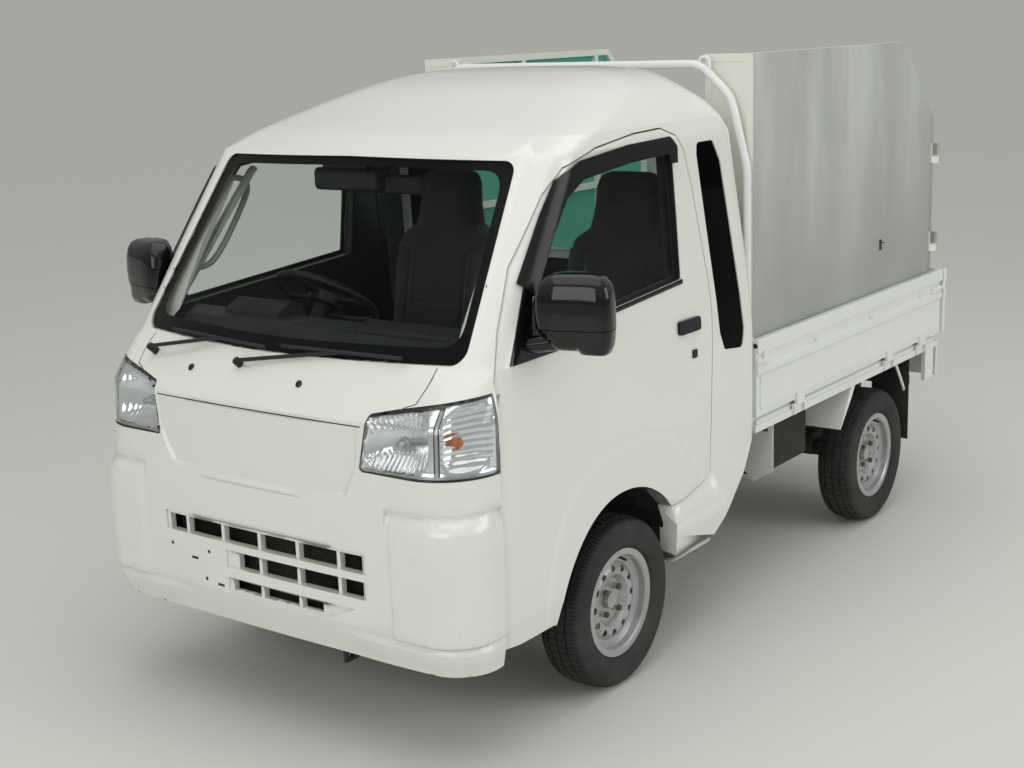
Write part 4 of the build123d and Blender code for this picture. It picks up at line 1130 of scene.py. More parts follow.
CREASE = [(-1.314, 0.345), (-1.300, 0.447), (-1.256, 0.588), (-1.173, 0.713), (-1.062, 0.770), (-0.896, 0.805),
          (-0.744, 0.799), (-0.608, 0.771), (-0.562, 0.732), (-0.503, 0.648), (-0.455, 0.591), (-0.440, 0.562)]
ARCH = [(-1.249, 0.345), (-1.184, 0.474), (-1.090, 0.574), (-0.986, 0.627), (-0.881, 0.640), (-0.771, 0.622),
        (-0.683, 0.578), (-0.614, 0.520), (-0.542, 0.520), (-0.446, 0.540)]
ARCH_MIDDLE = Vector((-0.915, 0.330))
SWELLING = 0.0052
crease = evenly(eased(CREASE), 90, False)
arch_edge = []
for point in evenly(eased(ARCH, 3), 90, False):
    arch_edge.append(point - (point - ARCH_MIDDLE).normalized() * 0.002)
grid = []
for top, foot in zip(crease, arch_edge):
    row = []
    for part in (0, 0.02, 0.05, 0.09, 0.14, 0.22, 0.34, 0.5, 0.7, 0.86, 1.0):
        here = top.lerp(foot, part)
        seen = here if part < 1 else foot + (foot - ARCH_MIDDLE).normalized() * 0.014
        rise = min(1.0, (here - top).length / 0.022)
        lift = SWELLING * rise * rise * (3 - 2 * rise) * (1 - 0.45 * part)
        place, normal = on_side(door_skin, seen.x, seen.y, lift - 0.0003)
        row.append((place + Vector((0, here.x - seen.x, here.y - seen.y)), normal))
    grid.append(row)
swelling = sheet_of("arch_swelling", grid, 0.0075, angle=50)
add_pair("arch_swelling", swelling, body_paint, "door_{side}")
print("Crease length:", round(sum((a - b).length for a, b in zip(crease, crease[1:])), 2), "m")

# %% [markdown]
# Panel joints show as thin dark lines. Where the CAD has no gap, a line is a flat dark strip that
# stands a fraction of a millimetre proud: the hood's front edge from lamp to lamp, and the joints
# from the lamps up to the windscreen.

# %% Seams and washer jets on the nose
def seam(name, line, width=0.0026):
    """A thin dark strip along (x, z) points on the nose."""
    path = [on_front(cab_skin, x, z) for x, z in evenly(line, 40, False)]
    return swept(name, path, box_section(width / 2, -0.001, 0.00025))


HOOD_EDGE = [(-0.4065, 0.9735), (-0.2, 0.9745), (0, 0.975), (0.2, 0.9745), (0.4065, 0.9735)]
HOOD_SIDE = [(0.508, 1.026), (0.545, 1.040), (0.556, 1.080), (0.563, 1.122)]
JET = [(-0.002, 0.011), (0.002, 0.011), (0.005, 0.008), (0.0065, 0.003)]
hood_edge = seam("hood_edge", HOOD_EDGE, width=0.0034)
add_piece("hood_edge", hood_edge, seal_black)
add_pair("hood_side_seam", seam("hood_side_seam", HOOD_SIDE), seal_black)
jets = []
for x in (-0.300, 0.150):
    place, normal = on_front(cab_skin, x, 1.056)
    jets.append(turned("washer_jet", JET, place, normal, 16))
add_piece("washer_jets", joined("washer_jets", jets), gloss_black)
print("Seams:", len(hood_edge.polygons), "faces in the hood's edge")

# %% [markdown]
# Behind the bumper's openings it is dark: a black tray with a row of upright cooling fins. The fins
# are one thin blade, repeated by Geometry Nodes along a line.

# %% Grille tray and fins
def slat_tree():
    """Blades of a size on the points of a mesh."""
    tree, start, end, ids = node_tree("slats", [("Size", "Vector"), ("Finish", "Material")])
    add, link = tree.nodes.new, tree.links.new
    blade = add("GeometryNodeMeshCube")
    link(start.outputs["Size"], blade.inputs["Size"])
    spots = add("GeometryNodeInstanceOnPoints")
    link(start.outputs["Geometry"], spots.inputs["Points"])
    link(blade.outputs["Mesh"], spots.inputs["Instance"])
    end_tree(tree, start, end, spots.outputs["Instances"])
    return tree, ids


SLATS, SLAT_IDS = slat_tree()


def slats(name, places, size, material):
    """Blades of one size at the places."""
    mesh = bpy.data.meshes.new(name)
    mesh.from_pydata(places, [], [])
    return add_piece(name, grown(mesh, SLATS, SLAT_IDS, {"Size": size, "Finish": material}), material)


TRAY_CORNERS = [(-0.3985, 0.4065), (0.3985, 0.4065), (0.3985, 0.6235), (-0.3985, 0.6235)]
tray_outline = evenly(rounded(TRAY_CORNERS, 0.01), 60)
tray_rings = [[Vector((p.x * s, y, 0.515 + (p.y - 0.515) * s)) for p in tray_outline]
              for y, s in ((-1.668, 1.0), (-1.614, 1.0), (-1.6125, 0.995), (-1.6125, 0.5), (-1.6125, 0.02))]
bm = bmesh.new()
loops = [[bm.verts.new(point) for point in ring] for ring in tray_rings]
for first, second in zip(loops, loops[1:]):
    for k in range(60):
        bm.faces.new((first[k], second[k], second[(k + 1) % 60], first[(k + 1) % 60]))
bm.faces.new(loops[-1])
tray = bpy.data.meshes.new("grille_tray")
bm.to_mesh(tray)
bm.free()
add_piece("grille_tray", made_by(tray, "SOLIDIFY", thickness=0.0012, offset=0.0), chassis_black)
fin_places = [(-0.38 + k * 0.0095, -1.622, 0.515) for k in range(81)]
slats("cooling_fins", fin_places, (0.0012, 0.012, 0.205), raw_metal)
print("Fins:", len(fin_places))

# %% Bumper holes, sensor and slots
hole_meshes = []
for x, z, radius in ((-0.378, 0.514, 0.0055), (-0.214, 0.514, 0.0055), (-0.233, 0.426, 0.006)):
    profile = [(-0.002, radius), (0.0003, radius), (0.0005, radius * 0.8)]
    hole_meshes.append(turned("hole", profile, *on_front(cab_skin, x, z), 16))
for x, z in ((-0.279, 0.484), (-0.171, 0.418)):
    slot_path = [on_front(cab_skin, x + dx, z) for dx in (-0.014, 0, 0.014)]
    hole_meshes.append(swept("slot", slot_path, box_section(0.004, -0.001, 0.0004)))
add_piece("bumper_holes", joined("bumper_holes", hole_meshes), seal_black)
SENSOR = [(-0.002, 0.010), (0.0006, 0.010), (0.0012, 0.0075)]
sensor = turned("parking_sensors", SENSOR, *on_front(cab_skin, 0.560, 0.640))
add_pair("parking_sensor", sensor, body_paint)
print("Bumper marks:", len(hole_meshes) + 1)

# %% [markdown]
# The wheel houses are black inside. A liner bent along the arch hides the white shell there.

# %% Wheel house liners
def arch_liner(x_out, x_in, steps):
    """A thin sheet under the arch between two distances from the truck's middle."""
    rows = []
    for point in evenly([(-1.255, 0.330)] + ARCH[1:8] + [(-0.5815, 0.440), (-0.5815, 0.345)], 60, False):
        towards = (ARCH_MIDDLE - point).normalized()
        spot = point + towards * 0.0016
        normal = Vector((0, towards.x, towards.y))
        across = [x_out + (x_in - x_out) * k / steps for k in range(steps + 1)]
        rows.append([(Vector((x, spot.x, spot.y)), normal) for x in across])
    return rows


end_rows = []
for row in arch_liner(0.4115, 0.4115, 1):
    spot = row[0][0]
    foot = Vector((0.4115, -0.915, 0.345))
    end_rows.append([(spot.lerp(foot, part), Vector((1, 0, 0))) for part in (0.0, 0.35, 0.7, 0.98)])
for name, rows in (("arch_liner", arch_liner(0.674, 0.4105, 6)), ("arch_end_liner", end_rows)):
    add_pair(name, sheet_of(name, rows, 0.001, angle=60), chassis_black)
print("Liner rows:", len(end_rows))

# %% [markdown]
# The raised roof is one smooth dome. Its CAD solid is made of straight runs between six plan
# sections; here the same sections are joined by smooth curves, so the light rolls over the roof as
# it does on pressed steel.

# %% Raised roof
# Columns: height, front at the middle, half width, bow radius, front corner radius, rear, rear corner radius
ROOF_ROWS = [
    (1.652, -1.207, 0.683, 2.6, 0.120, -0.038, 0.130), (1.700, -1.085, 0.664, 2.6, 0.150, -0.045, 0.150),
    (1.760, -0.890, 0.615, 2.6, 0.180, -0.080, 0.160), (1.820, -0.690, 0.540, 2.6, 0.200, -0.150, 0.160),
    (1.855, -0.520, 0.430, 2.6, 0.120, -0.190, 0.100), (1.868, -0.420, 0.300, 2.6, 0.080, -0.230, 0.060),
]


def smooth_row(t):
    """The roof's section at t steps above the first row, on smooth curves through the rows."""
    k = min(int(t), len(ROOF_ROWS) - 2)
    part = t - k
    rows = [ROOF_ROWS[max(0, min(len(ROOF_ROWS) - 1, k + j))] for j in (-1, 0, 1, 2)]
    result = []
    for a, b, c, d in zip(*rows):
        square, cube = 2 * a - 5 * b + 4 * c - d, 3 * b - a - 3 * c + d
        result.append(0.5 * (2 * b + (c - a) * part + square * part ** 2 + cube * part ** 3))
    return result


def plan_ring(row, inset, drop):
    """A plan section of the cab as a ring of points: bowed front, round corners, straight sides and back."""
    z, front, half, bow, corner, rear, rear_corner = row
    front, half, rear = front + inset, half - inset, rear - inset
    corner, rear_corner = max(corner - inset, 0.03), max(rear_corner - inset, 0.012)
    bow_y = front + bow
    corner_x = half - corner
    corner_y = bow_y - math.sqrt((bow - corner) ** 2 - corner_x ** 2)
    lean = math.atan2(corner_x, bow_y - corner_y)
    outline = []
    for k in range(25):
        a = -lean + 2 * lean * k / 24
        outline.append((bow * math.sin(a), bow_y - bow * math.cos(a)))
    for k in range(1, 17):
        a = lean + (math.pi / 2 - lean) * k / 16
        outline.append((corner_x + corner * math.sin(a), corner_y - corner * math.cos(a)))
    back_x, back_y = half - rear_corner, rear - rear_corner
    for k in range(1, 13):
        outline.append((half, corner_y + (back_y - corner_y) * k / 12))
    for k in range(1, 13):
        a = math.pi / 2 * k / 12
        outline.append((back_x + rear_corner * math.cos(a), back_y + rear_corner * math.sin(a)))
    left = [(x, y) for x, y in outline if x > 1e-6] + [(back_x * (1 - k / 8), rear) for k in range(1, 8)]
    ring = [(0.0, front)] + left + [(0.0, rear)] + [(-x, y) for x, y in reversed(left)]
    return [Vector((x, y, z - drop)) for x, y in ring]


dome = [plan_ring(smooth_row(1.0 + 4.0 * k / 40), 0.0, 0.0) for k in range(41)]
crown = sum(dome[-1], Vector()) / len(dome[-1])
for part, rise in ((0.72, 0.0022), (0.45, 0.0038), (0.18, 0.0046)):
    dome.append([crown + (point - crown) * part + Vector((0, 0, rise)) for point in dome[40]])
ceiling = [plan_ring(smooth_row(1.0 + 4.0 * k / 10), 0.045, 0.030 * min(1.0, k / 2)) for k in range(11)]
ceiling.append([crown + (point - crown) * 0.3 - Vector((0, 0, 0.035)) for point in ceiling[-1]])
roof_mesh = lofted("raised_roof", list(reversed(ceiling)) + dome, angle=50)
roof = add_piece("raised_roof", roof_mesh, body_paint)
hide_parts("high_roof")
print("Roof faces:", len(roof_mesh.polygons))

# %% [markdown]
# A tyre is a ring of equal tread segments, so Geometry Nodes build it from one segment: a fine
# cross-section with three grooves and small side cuts, copied round the axle and welded. The smooth
# carcass of the CAD is replaced by it.

# %% Tyres
# Columns: distance from the tyre's middle, radius
TYRE_PROFILE = [
    (0.0500, 0.1530), (0.0500, 0.1712), (0.0585, 0.1730), (0.0605, 0.1762), (0.0640, 0.1800), (0.0655, 0.1810),
    (0.0692, 0.1930), (0.0714, 0.2080), (0.0722, 0.2120), (0.0724, 0.2240), (0.0720, 0.2350), (0.0712, 0.2420),
    (0.0697, 0.2480), (0.0672, 0.2530), (0.0636, 0.2576), (0.0590, 0.2610), (0.0560, 0.2625), (0.0500, 0.2643),
    (0.0400, 0.2662), (0.0352, 0.2668), (0.0345, 0.2610), (0.0290, 0.2610), (0.0283, 0.2672), (0.0150, 0.2682),
    (0.0045, 0.2685), (0.0038, 0.2622),
]
TYRE_COUNT = 66
STEP = 2 * math.pi / TYRE_COUNT


def tread_segment():
    """One segment of the tyre, a sixty-sixth of the ring, standing at the bottom."""
    profile = TYRE_PROFILE + [(-a, r) for a, r in reversed(TYRE_PROFILE)]
    stations = (-0.5, -0.30, -0.26, -0.08, -0.04, 0.14, 0.18, 0.36, 0.5)
    vertices, faces = [], []
    for station in stations:
        angle = STEP * station
        zigzag = 0.0012 * math.cos(2 * math.pi * station)
        cut = station in (-0.26, -0.08, 0.18, 0.36)
        for a, r in profile:
            on_tread = r > 0.2605
            middle_rib = abs(a) < 0.036
            shift = zigzag if on_tread and middle_rib else 0.0
            sink = 0.0
            if on_tread and abs(a) > 0.036 and cut:
                sink = 0.0035
            if not on_tread and 0.2520 < r <= 0.2605 and cut:
                sink = 0.0016
            if on_tread and 0.0 < abs(a) < 0.029 and r > 0.266 and station in (-0.04, 0.14):
                sink = 0.0030
            radius = r - sink
            vertices.append((a + shift, radius * math.sin(angle), -radius * math.cos(angle)))
    count = len(profile)
    for k in range(len(stations) - 1):
        for j in range(count):
            following = (j + 1) % count
            faces.append((k * count + j, k * count + following, (k + 1) * count + following, (k + 1) * count + j))
    mesh = bpy.data.meshes.new("tread_segment")
    mesh.from_pydata(vertices, [], faces)
    return mesh


def ring_tree():
    """Copies of the input geometry turned round the X axis, welded, in one finish."""
    tree, start, end, ids = node_tree("ring_of_segments", [("Count", "Int"), ("Weld", "Float"),
                                                           ("Finish", "Material")])
    add, link = tree.nodes.new, tree.links.new
    spots = add("GeometryNodePoints")
    link(start.outputs["Count"], spots.inputs["Count"])
    index = add("GeometryNodeInputIndex")
    share = add("ShaderNodeMath")
    share.operation = "DIVIDE"
    link(index.outputs[0], share.inputs[0])
    link(start.outputs["Count"], share.inputs[1])
    angle = add("ShaderNodeMath")
    angle.operation = "MULTIPLY"
    link(share.outputs[0], angle.inputs[0])
    angle.inputs[1].default_value = 2 * math.pi
    turning = add("ShaderNodeCombineXYZ")
    link(angle.outputs[0], turning.inputs["X"])
    copies = add("GeometryNodeInstanceOnPoints")
    link(spots.outputs[0], copies.inputs["Points"])
    link(start.outputs["Geometry"], copies.inputs["Instance"])
    link(turning.outputs[0], copies.inputs["Rotation"])
    end_tree(tree, start, end, copies.outputs["Instances"], weld=True)
    return tree, ids


RINGS, RING_IDS = ring_tree()
ring = grown(tread_segment(), RINGS, RING_IDS, {"Count": TYRE_COUNT, "Weld": 0.00005, "Finish": rubber_black})
bm = bmesh.new()
bm.from_mesh(ring)
bmesh.ops.recalc_face_normals(bm, faces=bm.faces)
bm.to_mesh(ring)
bm.free()
ring.shade_smooth()
ring.set_sharp_from_angle(angle=math.radians(28))
WHEEL_X = 0.6525
AXLE_Z = 0.2685
NUT_CIRCLE = 0.050
STEM = [(0, 0.0055), (0.010, 0.0050), (0.022, 0.0038), (0.024, 0.0042), (0.034, 0.0042), (0.036, 0.0030)]
for end, axle_y in (("front", -0.8775), ("rear", 1.0225)):
    for side, way in SIDES:
        x, out = way * WHEEL_X, Vector((way, 0, 0))
        body = f"wheel_{end}_{side}_body"
        mesh = ring.copy()
        mesh.transform(Matrix.Translation((x, axle_y, AXLE_Z)))
        tyre = add_piece(f"tread_tyre_{end}_{side}", mesh, rubber_black, body)
        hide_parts(f"tyre_{end}_{side}")
        nuts = []
        for k in range(4):
            a = math.radians(45 + 90 * k)
            nuts.append((Vector((x + way * 0.0200, axle_y + NUT_CIRCLE * math.sin(a),
                                 AXLE_Z + NUT_CIRCLE * math.cos(a))), out))
        fasteners(f"wheel_nuts_{end}_{side}", nuts, 6, 0.0098, 0.013, rusty_metal, body, top=0.0112)
        stem_foot = Vector((x + way * 0.034, axle_y + 0.02, AXLE_Z + 0.1415))
        stem = turned("valve_stem", STEM, stem_foot, Vector((way, 0, -0.25)), 14)
        add_piece(f"valve_stem_{end}_{side}", stem, seal_black, body)
print("Tyre faces:", len(ring.polygons))

# %% [markdown]
# The bed's outside carries small fittings in the bed's own white: covers with two screws over the
# gate hinges, clips for a rope, end latches, and screws along the sill.

# %% Bed fittings
def plate(name, centre, size, normal, up, thickness, corner=0.004):
    """A small plate with rounded corners, crowned a little, that stands on a surface."""
    normal, up = Vector(normal).normalized(), Vector(up)
    right = up.cross(normal).normalized()
    w, h = size[0] / 2, size[1] / 2
    outline = rounded([(-w, -h), (w, -h), (w, h), (-w, h)], corner, 4)
    rings = []
    for out, share in ((-0.001, 1.0), (thickness * 0.7, 1.0), (thickness, 0.9), (thickness * 1.05, 0.45)):
        rings.append([Vector(centre) + right * p.x * share + up * p.y * share + normal * out for p in outline])
    return lofted(name, rings)


HINGES_Y = (0.305, 1.110, 1.445)
CLIPS_Y = (0.440, 0.932, 1.420)
covers, screws, clips, hooks = [], [], [], []
for y in HINGES_Y:
    covers.append(plate("cover", (0.7232, y, 0.630), (0.060, 0.034), (1, 0, 0), (0, 0, 1), 0.0035, 0.012))
    for dy in (-0.016, 0.016):
        screws.append((Vector((0.7262, y + dy, 0.630)), Vector((1, 0, 0))))
for y in CLIPS_Y:
    clips.append(plate("clip", (0.7258, y, 0.862), (0.034, 0.020), (1, 0, 0), (0, 0, 1), 0.004, 0.006))
    clips.append(tube("clip_wire", [(0.727, y - 0.014, 0.868), (0.734, y - 0.012, 0.858), (0.735, y, 0.850),
                                    (0.734, y + 0.012, 0.858), (0.727, y + 0.014, 0.868)], 0.0022))
for y in (-0.002, 1.628):
    hooks.append(tube("latch_hook", [(0.7365, y - 0.034, 0.861), (0.742, y - 0.016, 0.863), (0.742, y + 0.010, 0.866),
                                     (0.7385, y + 0.030, 0.878), (0.7365, y + 0.036, 0.890)], 0.0035))
    hooks.append(plate("latch_base", (0.7372, y, 0.860), (0.052, 0.013), (1, 0, 0), (0, 0, 1), 0.0025, 0.004))
add_pair("hinge_covers", joined("hinge_covers", covers), bed_paint)
add_pair("rope_clips", joined("rope_clips", clips), bed_paint, "side_gate_{side}")
add_pair("gate_latches", joined("gate_latches", hooks), tube_paint, "side_gate_{side}")
for y in (0.06, 0.16, 0.52, 0.74, 1.27, 1.56):
    screws.append((Vector((0.7236, y, 0.618)), Vector((1, 0, 0))))
for side, way in SIDES:
    placed = [(Vector((way * p.x, p.y, p.z)), Vector((way, 0, 0))) for p, facing in screws]
    fasteners(f"sill_screws_{side}", placed, 10, 0.0048, 0.0022, bed_paint)
plug = turned("rail_plugs", [(0.002, 0.009), (-0.003, 0.009), (-0.0045, 0.006)], Vector((0.724, -0.0215, 0.915)),
              Vector((0, 1, 0)), 16)
add_pair("rail_plugs", plug, seal_black, "side_gate_{side}")
rear_catches = []
for x in (-0.640, 0.640):
    rear_catches.append(tube("tail_hook", [(x - 0.030, 1.6975, 0.861), (x - 0.010, 1.703, 0.863),
                                           (x + 0.012, 1.703, 0.868), (x + 0.030, 1.6975, 0.884)], 0.0035))
add_piece("tailgate_latches", joined("tailgate_latches", rear_catches), seal_black, "tailgate_body")
cap_section = [(-0.008, -0.0105), (0.008, -0.0105), (0.008, 0.007), (0.005, 0.0095), (-0.008, 0.0095)]
cap_path = [(Vector((0.708, 1.612 - 0.161 * k, 0.6375)), Vector((0, 0, 1))) for k in range(11)]
add_pair("sill_cap", swept("sill_cap", cap_path, cap_section), bed_paint)
add_pair("flap_strut", tube("flap_strut", [(0.700, 1.240, 0.606), (0.702, 1.262, 0.580), (0.702, 1.352, 0.455),
                                           (0.700, 1.366, 0.436)], 0.0065), bed_paint)
print("Bed fittings:", len(covers), "covers,", len(screws), "screws a side")

# %% [markdown]
# Small rivets hold the sheets to the posts and rails of the box. They stand in rows, so the rows
# are written and the fastener tree puts a head on every point.

# %% Box rivets and fittings
def row_of_points(start, end, pitch):
    """Evenly spaced points from start to end."""
    a, b = Vector(start), Vector(end)
    count = max(2, round((b - a).length / pitch) + 1)
    return [a.lerp(b, k / (count - 1)) for k in range(count)]


rivet_rows = []
for y, top in ((0.0125, 1.88), (0.1975, 1.88), (0.6105, 1.88), (1.1545, 1.88), (1.5505, 1.59)):
    rivet_rows += row_of_points((0.703, y, 0.96), (0.703, y, top), 0.155)
for z in (0.9575, 1.3025, 1.8805):
    rivet_rows += row_of_points((0.703, 0.07, z), (0.703, 1.23 if z > 1.8 else 1.50, z), 0.17)
rivet_rows += row_of_points((0.703, 1.262, 1.868), (0.703, 1.545, 1.606), 0.12)
for side, way in SIDES:
    spots = [(Vector((way * (p.x + 0.0002), p.y, p.z)), Vector((way, 0, 0))) for p in rivet_rows]
    fasteners(f"sheet_rivets_{side}", spots, 8, 0.0028, 0.0012, aluminium_sheet, top=0.0014)
hasp = [plate("hasp", (0.7032, 1.062, 1.117), (0.020, 0.042), (1, 0, 0), (0, 0, 1), 0.003, 0.004),
        tube("hasp_loop", [(0.704, 1.056, 1.126), (0.716, 1.056, 1.127), (0.720, 1.062, 1.127), (0.716, 1.068, 1.127),
                           (0.704, 1.068, 1.126)], 0.0018)]
add_piece("side_hasp", joined("side_hasp", hasp), raw_metal)
for side, way in SIDES:
    handle = [tube("pull", [(way * 0.075, 1.599, 1.20), (way * 0.075, 1.628, 1.205), (way * 0.075, 1.634, 1.27),
                            (way * 0.075, 1.628, 1.335), (way * 0.075, 1.599, 1.34)], 0.006),
              plate("pull_foot", (way * 0.075, 1.599, 1.20), (0.03, 0.04), (0, 1, 0), (0, 0, 1), 0.003, 0.006),
              plate("pull_foot", (way * 0.075, 1.599, 1.34), (0.03, 0.04), (0, 1, 0), (0, 0, 1), 0.003, 0.006)]
    add_piece(f"rear_door_pull_{side}", joined("rear_door_pull", handle), raw_metal, f"rear_door_{side}")
print("Rivets a side:", len(rivet_rows))

# %% [markdown]
# Each seat has a cushion and a back with a built-in head rest, sewn from dark cloth over foam. The
# forms start as skins through a few rounded sections. Blender's Cloth then blows them up a little,
# as foam does under its cover, with the travel capped. The sewn channels are pressed in afterwards,
# because the even remesh would remove them.

# %% Seat forms
# Columns: height, half width, front, rear
BACK_ROWS = [
    (0.800, 0.218, -0.368, -0.200), (0.862, 0.226, -0.365, -0.180), (1.000, 0.228, -0.326, -0.155),
    (1.150, 0.228, -0.296, -0.149), (1.245, 0.225, -0.274, -0.145), (1.290, 0.196, -0.266, -0.143),
    (1.325, 0.140, -0.260, -0.143), (1.400, 0.124, -0.248, -0.139), (1.470, 0.118, -0.238, -0.135),
    (1.505, 0.105, -0.228, -0.140), (1.520, 0.080, -0.212, -0.156),
]
# Columns: front to rear, half width, bottom, top
CUSHION_ROWS = [
    (-0.758, 0.195, 0.768, 0.826), (-0.738, 0.220, 0.735, 0.850), (-0.600, 0.228, 0.727, 0.860),
    (-0.450, 0.228, 0.722, 0.856), (-0.372, 0.224, 0.720, 0.856), (-0.352, 0.212, 0.735, 0.842),
]


def pillow_ring(half_across, half_deep, around=48, power=4.5):
    """A rounded square as (across, deep) points."""
    ring_points = []
    for k in range(around):
        a = 2 * math.pi * k / around
        c, s = math.cos(a), math.sin(a)
        ring_points.append((half_across * math.copysign(abs(c) ** (2 / power), c),
                            half_deep * math.copysign(abs(s) ** (2 / power), s)))
    return ring_points


back_rings = [[Vector((a, (y0 + y1) / 2 + d, z)) for a, d in pillow_ring(w, (y1 - y0) / 2)]
              for z, w, y0, y1 in BACK_ROWS]
cushion_rings = [[Vector((a, y, (z0 + z1) / 2 + d)) for a, d in pillow_ring(w, (z1 - z0) / 2)]
                 for y, w, z0, z1 in CUSHION_ROWS]
print("Seat sections:", len(back_rings), len(cushion_rings))

# %% Foam under the covers
def blown(form, cap, pressure=4.0, voxel=0.008, frames=20):
    """The form remeshed evenly and blown up by Cloth with pressure, no point moving further than the cap."""
    even = made_by(form, "REMESH", mode="VOXEL", voxel_size=voxel, use_smooth_shade=True)
    start = [vertex.co.copy() for vertex in even.vertices]
    pad = bpy.data.objects.new("pad", even)
    bpy.context.scene.collection.objects.link(pad)
    cloth = pad.modifiers.new("cover", "CLOTH")
    cloth.settings.use_pressure = True
    cloth.settings.uniform_pressure_force = pressure
    cloth.settings.effector_weights.gravity = 0
    for frame_number in range(1, frames + 1):
        bpy.context.scene.frame_set(frame_number)
    seen = pad.evaluated_get(bpy.context.evaluated_depsgraph_get())
    swollen = bpy.data.meshes.new_from_object(seen)
    bpy.data.objects.remove(pad)
    bpy.context.scene.frame_set(1)
    for vertex, home in zip(swollen.vertices, start):
        move = vertex.co - home
        if move.length > cap:
            vertex.co = home + move * (cap / move.length)
    even = swollen
    return even


def channelled(mesh, lines, depth, width, axis):
    """Presses sewn channels into the mesh along lines; distances are measured across the given axis."""
    places, normals = numpy.empty(len(mesh.vertices) * 3), numpy.empty(len(mesh.vertices) * 3)
    mesh.vertices.foreach_get("co", places)
    mesh.vertices.foreach_get("normal", normals)
    places, normals = places.reshape(-1, 3), normals.reshape(-1, 3)
    flat = numpy.delete(places, axis, axis=1)
    nearest = numpy.full(len(places), 1.0)
    for line in lines:
        for a, b in zip(line, line[1:]):
            a, along = numpy.array(a), numpy.array(b) - numpy.array(a)
            part = numpy.clip((flat - a) @ along / (along @ along), 0, 1)
            nearest = numpy.minimum(nearest, numpy.linalg.norm(flat - a - part[:, None] * along, axis=1))
    places = places - normals * (depth * numpy.exp(-(nearest / width) ** 2))[:, None]
    mesh.vertices.foreach_set("co", places.ravel())
    mesh.update()


back_form = blown(lofted("seat_back_form", back_rings), 0.008)
cushion_form = blown(lofted("seat_cushion_form", cushion_rings), 0.008)
BACK_SEAMS = [[(-0.128, 0.84), (-0.128, 1.235), (-0.225, 1.262)], [(0.128, 0.84), (0.128, 1.235), (0.225, 1.262)],
              [(-0.128, 1.235), (-0.085, 1.262), (0.085, 1.262), (0.128, 1.235)], [(-0.128, 1.05), (0.128, 1.05)]]
CUSHION_SEAMS = [[(-0.128, -0.74), (-0.128, -0.36)], [(0.128, -0.74), (0.128, -0.36)],
                 [(-0.128, -0.56), (0.128, -0.56)]]
back_form = made_by(back_form, "SUBSURF", levels=1, render_levels=1)
cushion_form = made_by(cushion_form, "SUBSURF", levels=1, render_levels=1)
channelled(back_form, BACK_SEAMS, 0.006, 0.006, 1)
channelled(cushion_form, CUSHION_SEAMS, 0.006, 0.006, 2)
for name, x, forward in (("driver", -0.345, 0.120), ("passenger", 0.33, 0.0)):
    for part, form in (("back", back_form), ("cushion", cushion_form)):
        mesh = form.copy()
        mesh.transform(Matrix.Translation((x, -forward, 0)))
        mesh.shade_smooth()
        pad = add_piece(f"seat_{part}_{name}", mesh, seat_cloth)
        if part == "back":
            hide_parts(f"seat_{name}")
    base_mesh = []
    for rail_x in (x - 0.165, x + 0.165):
        rail = [(Vector((rail_x, y - forward, 0.706)), Vector((0, 0, 1))) for y in (-0.69, -0.55, -0.40, -0.25)]
        base_mesh.append(swept("rail", rail, [(-0.014, -0.007), (0.014, -0.007), (0.014, 0.010), (0.006, 0.018),
                                              (-0.006, 0.018), (-0.014, 0.010)]))
    add_piece(f"seat_rails_{name}", joined("seat_rails", base_mesh), raw_metal)
print("Seat faces:", len(back_form.polygons) + len(cushion_form.polygons), "a seat")

# %% [markdown]
# Through the windscreen the pale trim of the pillars shows, with a grab handle on the pillar beside
# the driver. They are strips and a tube along a few measured points.

# %% Cab trim
pillar = [((0.640, -1.415, 1.150), (0.55, -0.75, 0.2)), ((0.622, -1.300, 1.290), (0.55, -0.75, 0.3)),
          ((0.604, -1.180, 1.440), (0.55, -0.72, 0.35)), ((0.585, -1.060, 1.585), (0.5, -0.6, 0.5))]
pillar_path = [(Vector(p), Vector(n).normalized()) for p, n in pillar]
trim_section = [(-0.034, -0.020), (0.034, -0.020), (0.036, -0.008), (0.024, 0.002), (-0.024, 0.002), (-0.036, -0.008)]
add_pair("pillar_trim", swept("pillar_trim", pillar_path, trim_section), pale_trim)
GRAB_PATH = [(-0.615, -1.165, 1.560), (-0.600, -1.100, 1.560), (-0.595, -1.060, 1.530), (-0.595, -1.100, 1.460),
             (-0.597, -1.220, 1.310), (-0.600, -1.285, 1.280), (-0.620, -1.330, 1.290)]
add_piece("grab_handle", tube("grab_handle", GRAB_PATH, 0.010), pale_trim)
print("Trim points:", len(pillar_path))

# %% [markdown]
# The door mirrors have a wide gloss cap, a seam low down and a deeper outer foot. The cap is a skin
# through level sections that are turned a little to the rear, and it sits over the plain head of
# the solids.

# %% Mirror caps
MIRROR_PLACE = Vector((0.849, -1.285, 1.258))
MIRROR_TURN = Matrix.Rotation(math.radians(16), 3, "Z")
# Columns: height over the middle, inner and outer end, front, rear
CAP_ROWS = [
    (-0.113, 0.030, 0.086, -0.026, 0.026),
    (-0.108, 0.016, 0.096, -0.040, 0.038),
    (-0.088, 0.000, 0.103, -0.048, 0.044),
    (-0.072, -0.074, 0.106, -0.051, 0.046),
    (-0.056, -0.097, 0.107, -0.053, 0.047),
    (-0.0445, -0.103, 0.108, -0.054, 0.047),
    (-0.0430, -0.100, 0.105, -0.051, 0.045),
    (-0.0415, -0.106, 0.109, -0.057, 0.048),
    (0.000, -0.108, 0.109, -0.060, 0.048),
    (0.045, -0.105, 0.107, -0.058, 0.047),
    (0.075, -0.096, 0.100, -0.052, 0.045),
    (0.094, -0.080, 0.086, -0.042, 0.039),
    (0.103, -0.058, 0.064, -0.030, 0.030),
    (0.107, -0.030, 0.036, -0.015, 0.016),
]
cap_rings = []
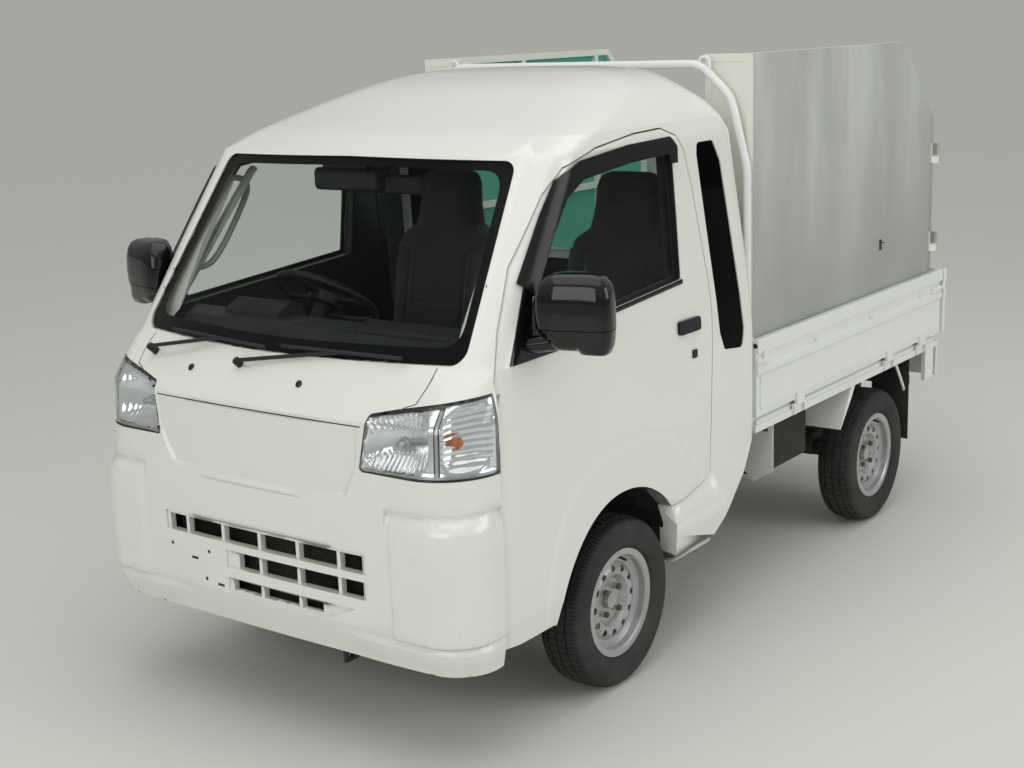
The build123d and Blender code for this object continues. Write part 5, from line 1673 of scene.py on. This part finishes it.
for height, inner, outer, front, rear in CAP_ROWS:
    ring_points = pillow_ring((outer - inner) / 2, (rear - front) / 2, 56, 3.6)
    cap_rings.append([MIRROR_PLACE + MIRROR_TURN @ Vector(((inner + outer) / 2 + a, (front + rear) / 2 + d, height))
                      for a, d in ring_points])
add_pair("mirror_cap", lofted("mirror_cap", cap_rings, angle=50), gloss_black, "door_{side}")
print("Mirror cap rings:", len(cap_rings))

# %% [markdown]
# The stage is one pale floor and three large soft lights. The world is pale to the camera and
# through glass, about as pale as the far floor, so that no horizon shows. Mirrored rays see a world
# that is darker low down and bright overhead, as in a hall, which gives the paint its shading.

# %% Stage
FLOOR_SIZE = 120.0
FAR_TONE = (0.385, 0.39, 0.36)
stage_finish = finish("stage_floor", (0.70, 0.70, 0.655), 0.8, drift=0.01, grain=(40.0, 0.0002))
floor_mesh = bpy.data.meshes.new("stage_floor")
half_floor = FLOOR_SIZE / 2
floor_mesh.from_pydata(
    [(-half_floor, -half_floor, 0), (half_floor, -half_floor, 0), (half_floor, half_floor, 0),
     (-half_floor, half_floor, 0)], [], [(0, 1, 2, 3)])
floor_mesh.materials.append(stage_finish)
floor = bpy.data.objects.new("stage_floor", floor_mesh)
bpy.context.scene.collection.objects.link(floor)

world = bpy.data.worlds.new("pale_room")
bpy.context.scene.world = world
world.use_nodes = True
room = world.node_tree
background = room.nodes["Background"]
rays = room.nodes.new("ShaderNodeLightPath")
direction = room.nodes.new("ShaderNodeTexCoord")
upwards = room.nodes.new("ShaderNodeSeparateXYZ")
room.links.new(direction.outputs["Generated"], upwards.inputs[0])
hall = blend_colours(room, spread(room, upwards.outputs["Z"], -0.05, 0.75), (0.16, 0.16, 0.155), (0.60, 0.61, 0.60))
tone = blend_colours(room, rays.outputs["Is Glossy Ray"], (0.53, 0.54, 0.53), hall)
plain = arithmetic(room, "MAXIMUM", rays.outputs["Is Camera Ray"], rays.outputs["Is Transmission Ray"])
room.links.new(blend_colours(room, plain, tone, FAR_TONE), background.inputs["Color"])
background.inputs["Strength"].default_value = 1.0


def area_light(name, place, aim, size, power):
    """A soft rectangular light at place that shines towards aim."""
    data = bpy.data.lights.new(name, "AREA")
    data.shape = "RECTANGLE"
    data.size, data.size_y = size
    data.energy = power
    light = bpy.data.objects.new(name, data)
    direction = Vector(aim) - Vector(place)
    light.rotation_mode = "QUATERNION"
    light.rotation_quaternion = direction.to_track_quat("-Z", "Y")
    light.location = place
    bpy.context.scene.collection.objects.link(light)
    return light


CENTRE = (0.0, 0.0, 0.9)
area_light("ceiling_light", (0.5, -1.0, 5.5), CENTRE, (5.0, 7.0), 95)
area_light("front_light", (1.5, -7.0, 3.0), CENTRE, (4.0, 3.0), 75)
area_light("side_light", (6.5, 1.5, 3.2), CENTRE, (4.0, 3.0), 90)

view = bpy.context.scene.view_settings
view.view_transform = "Standard"
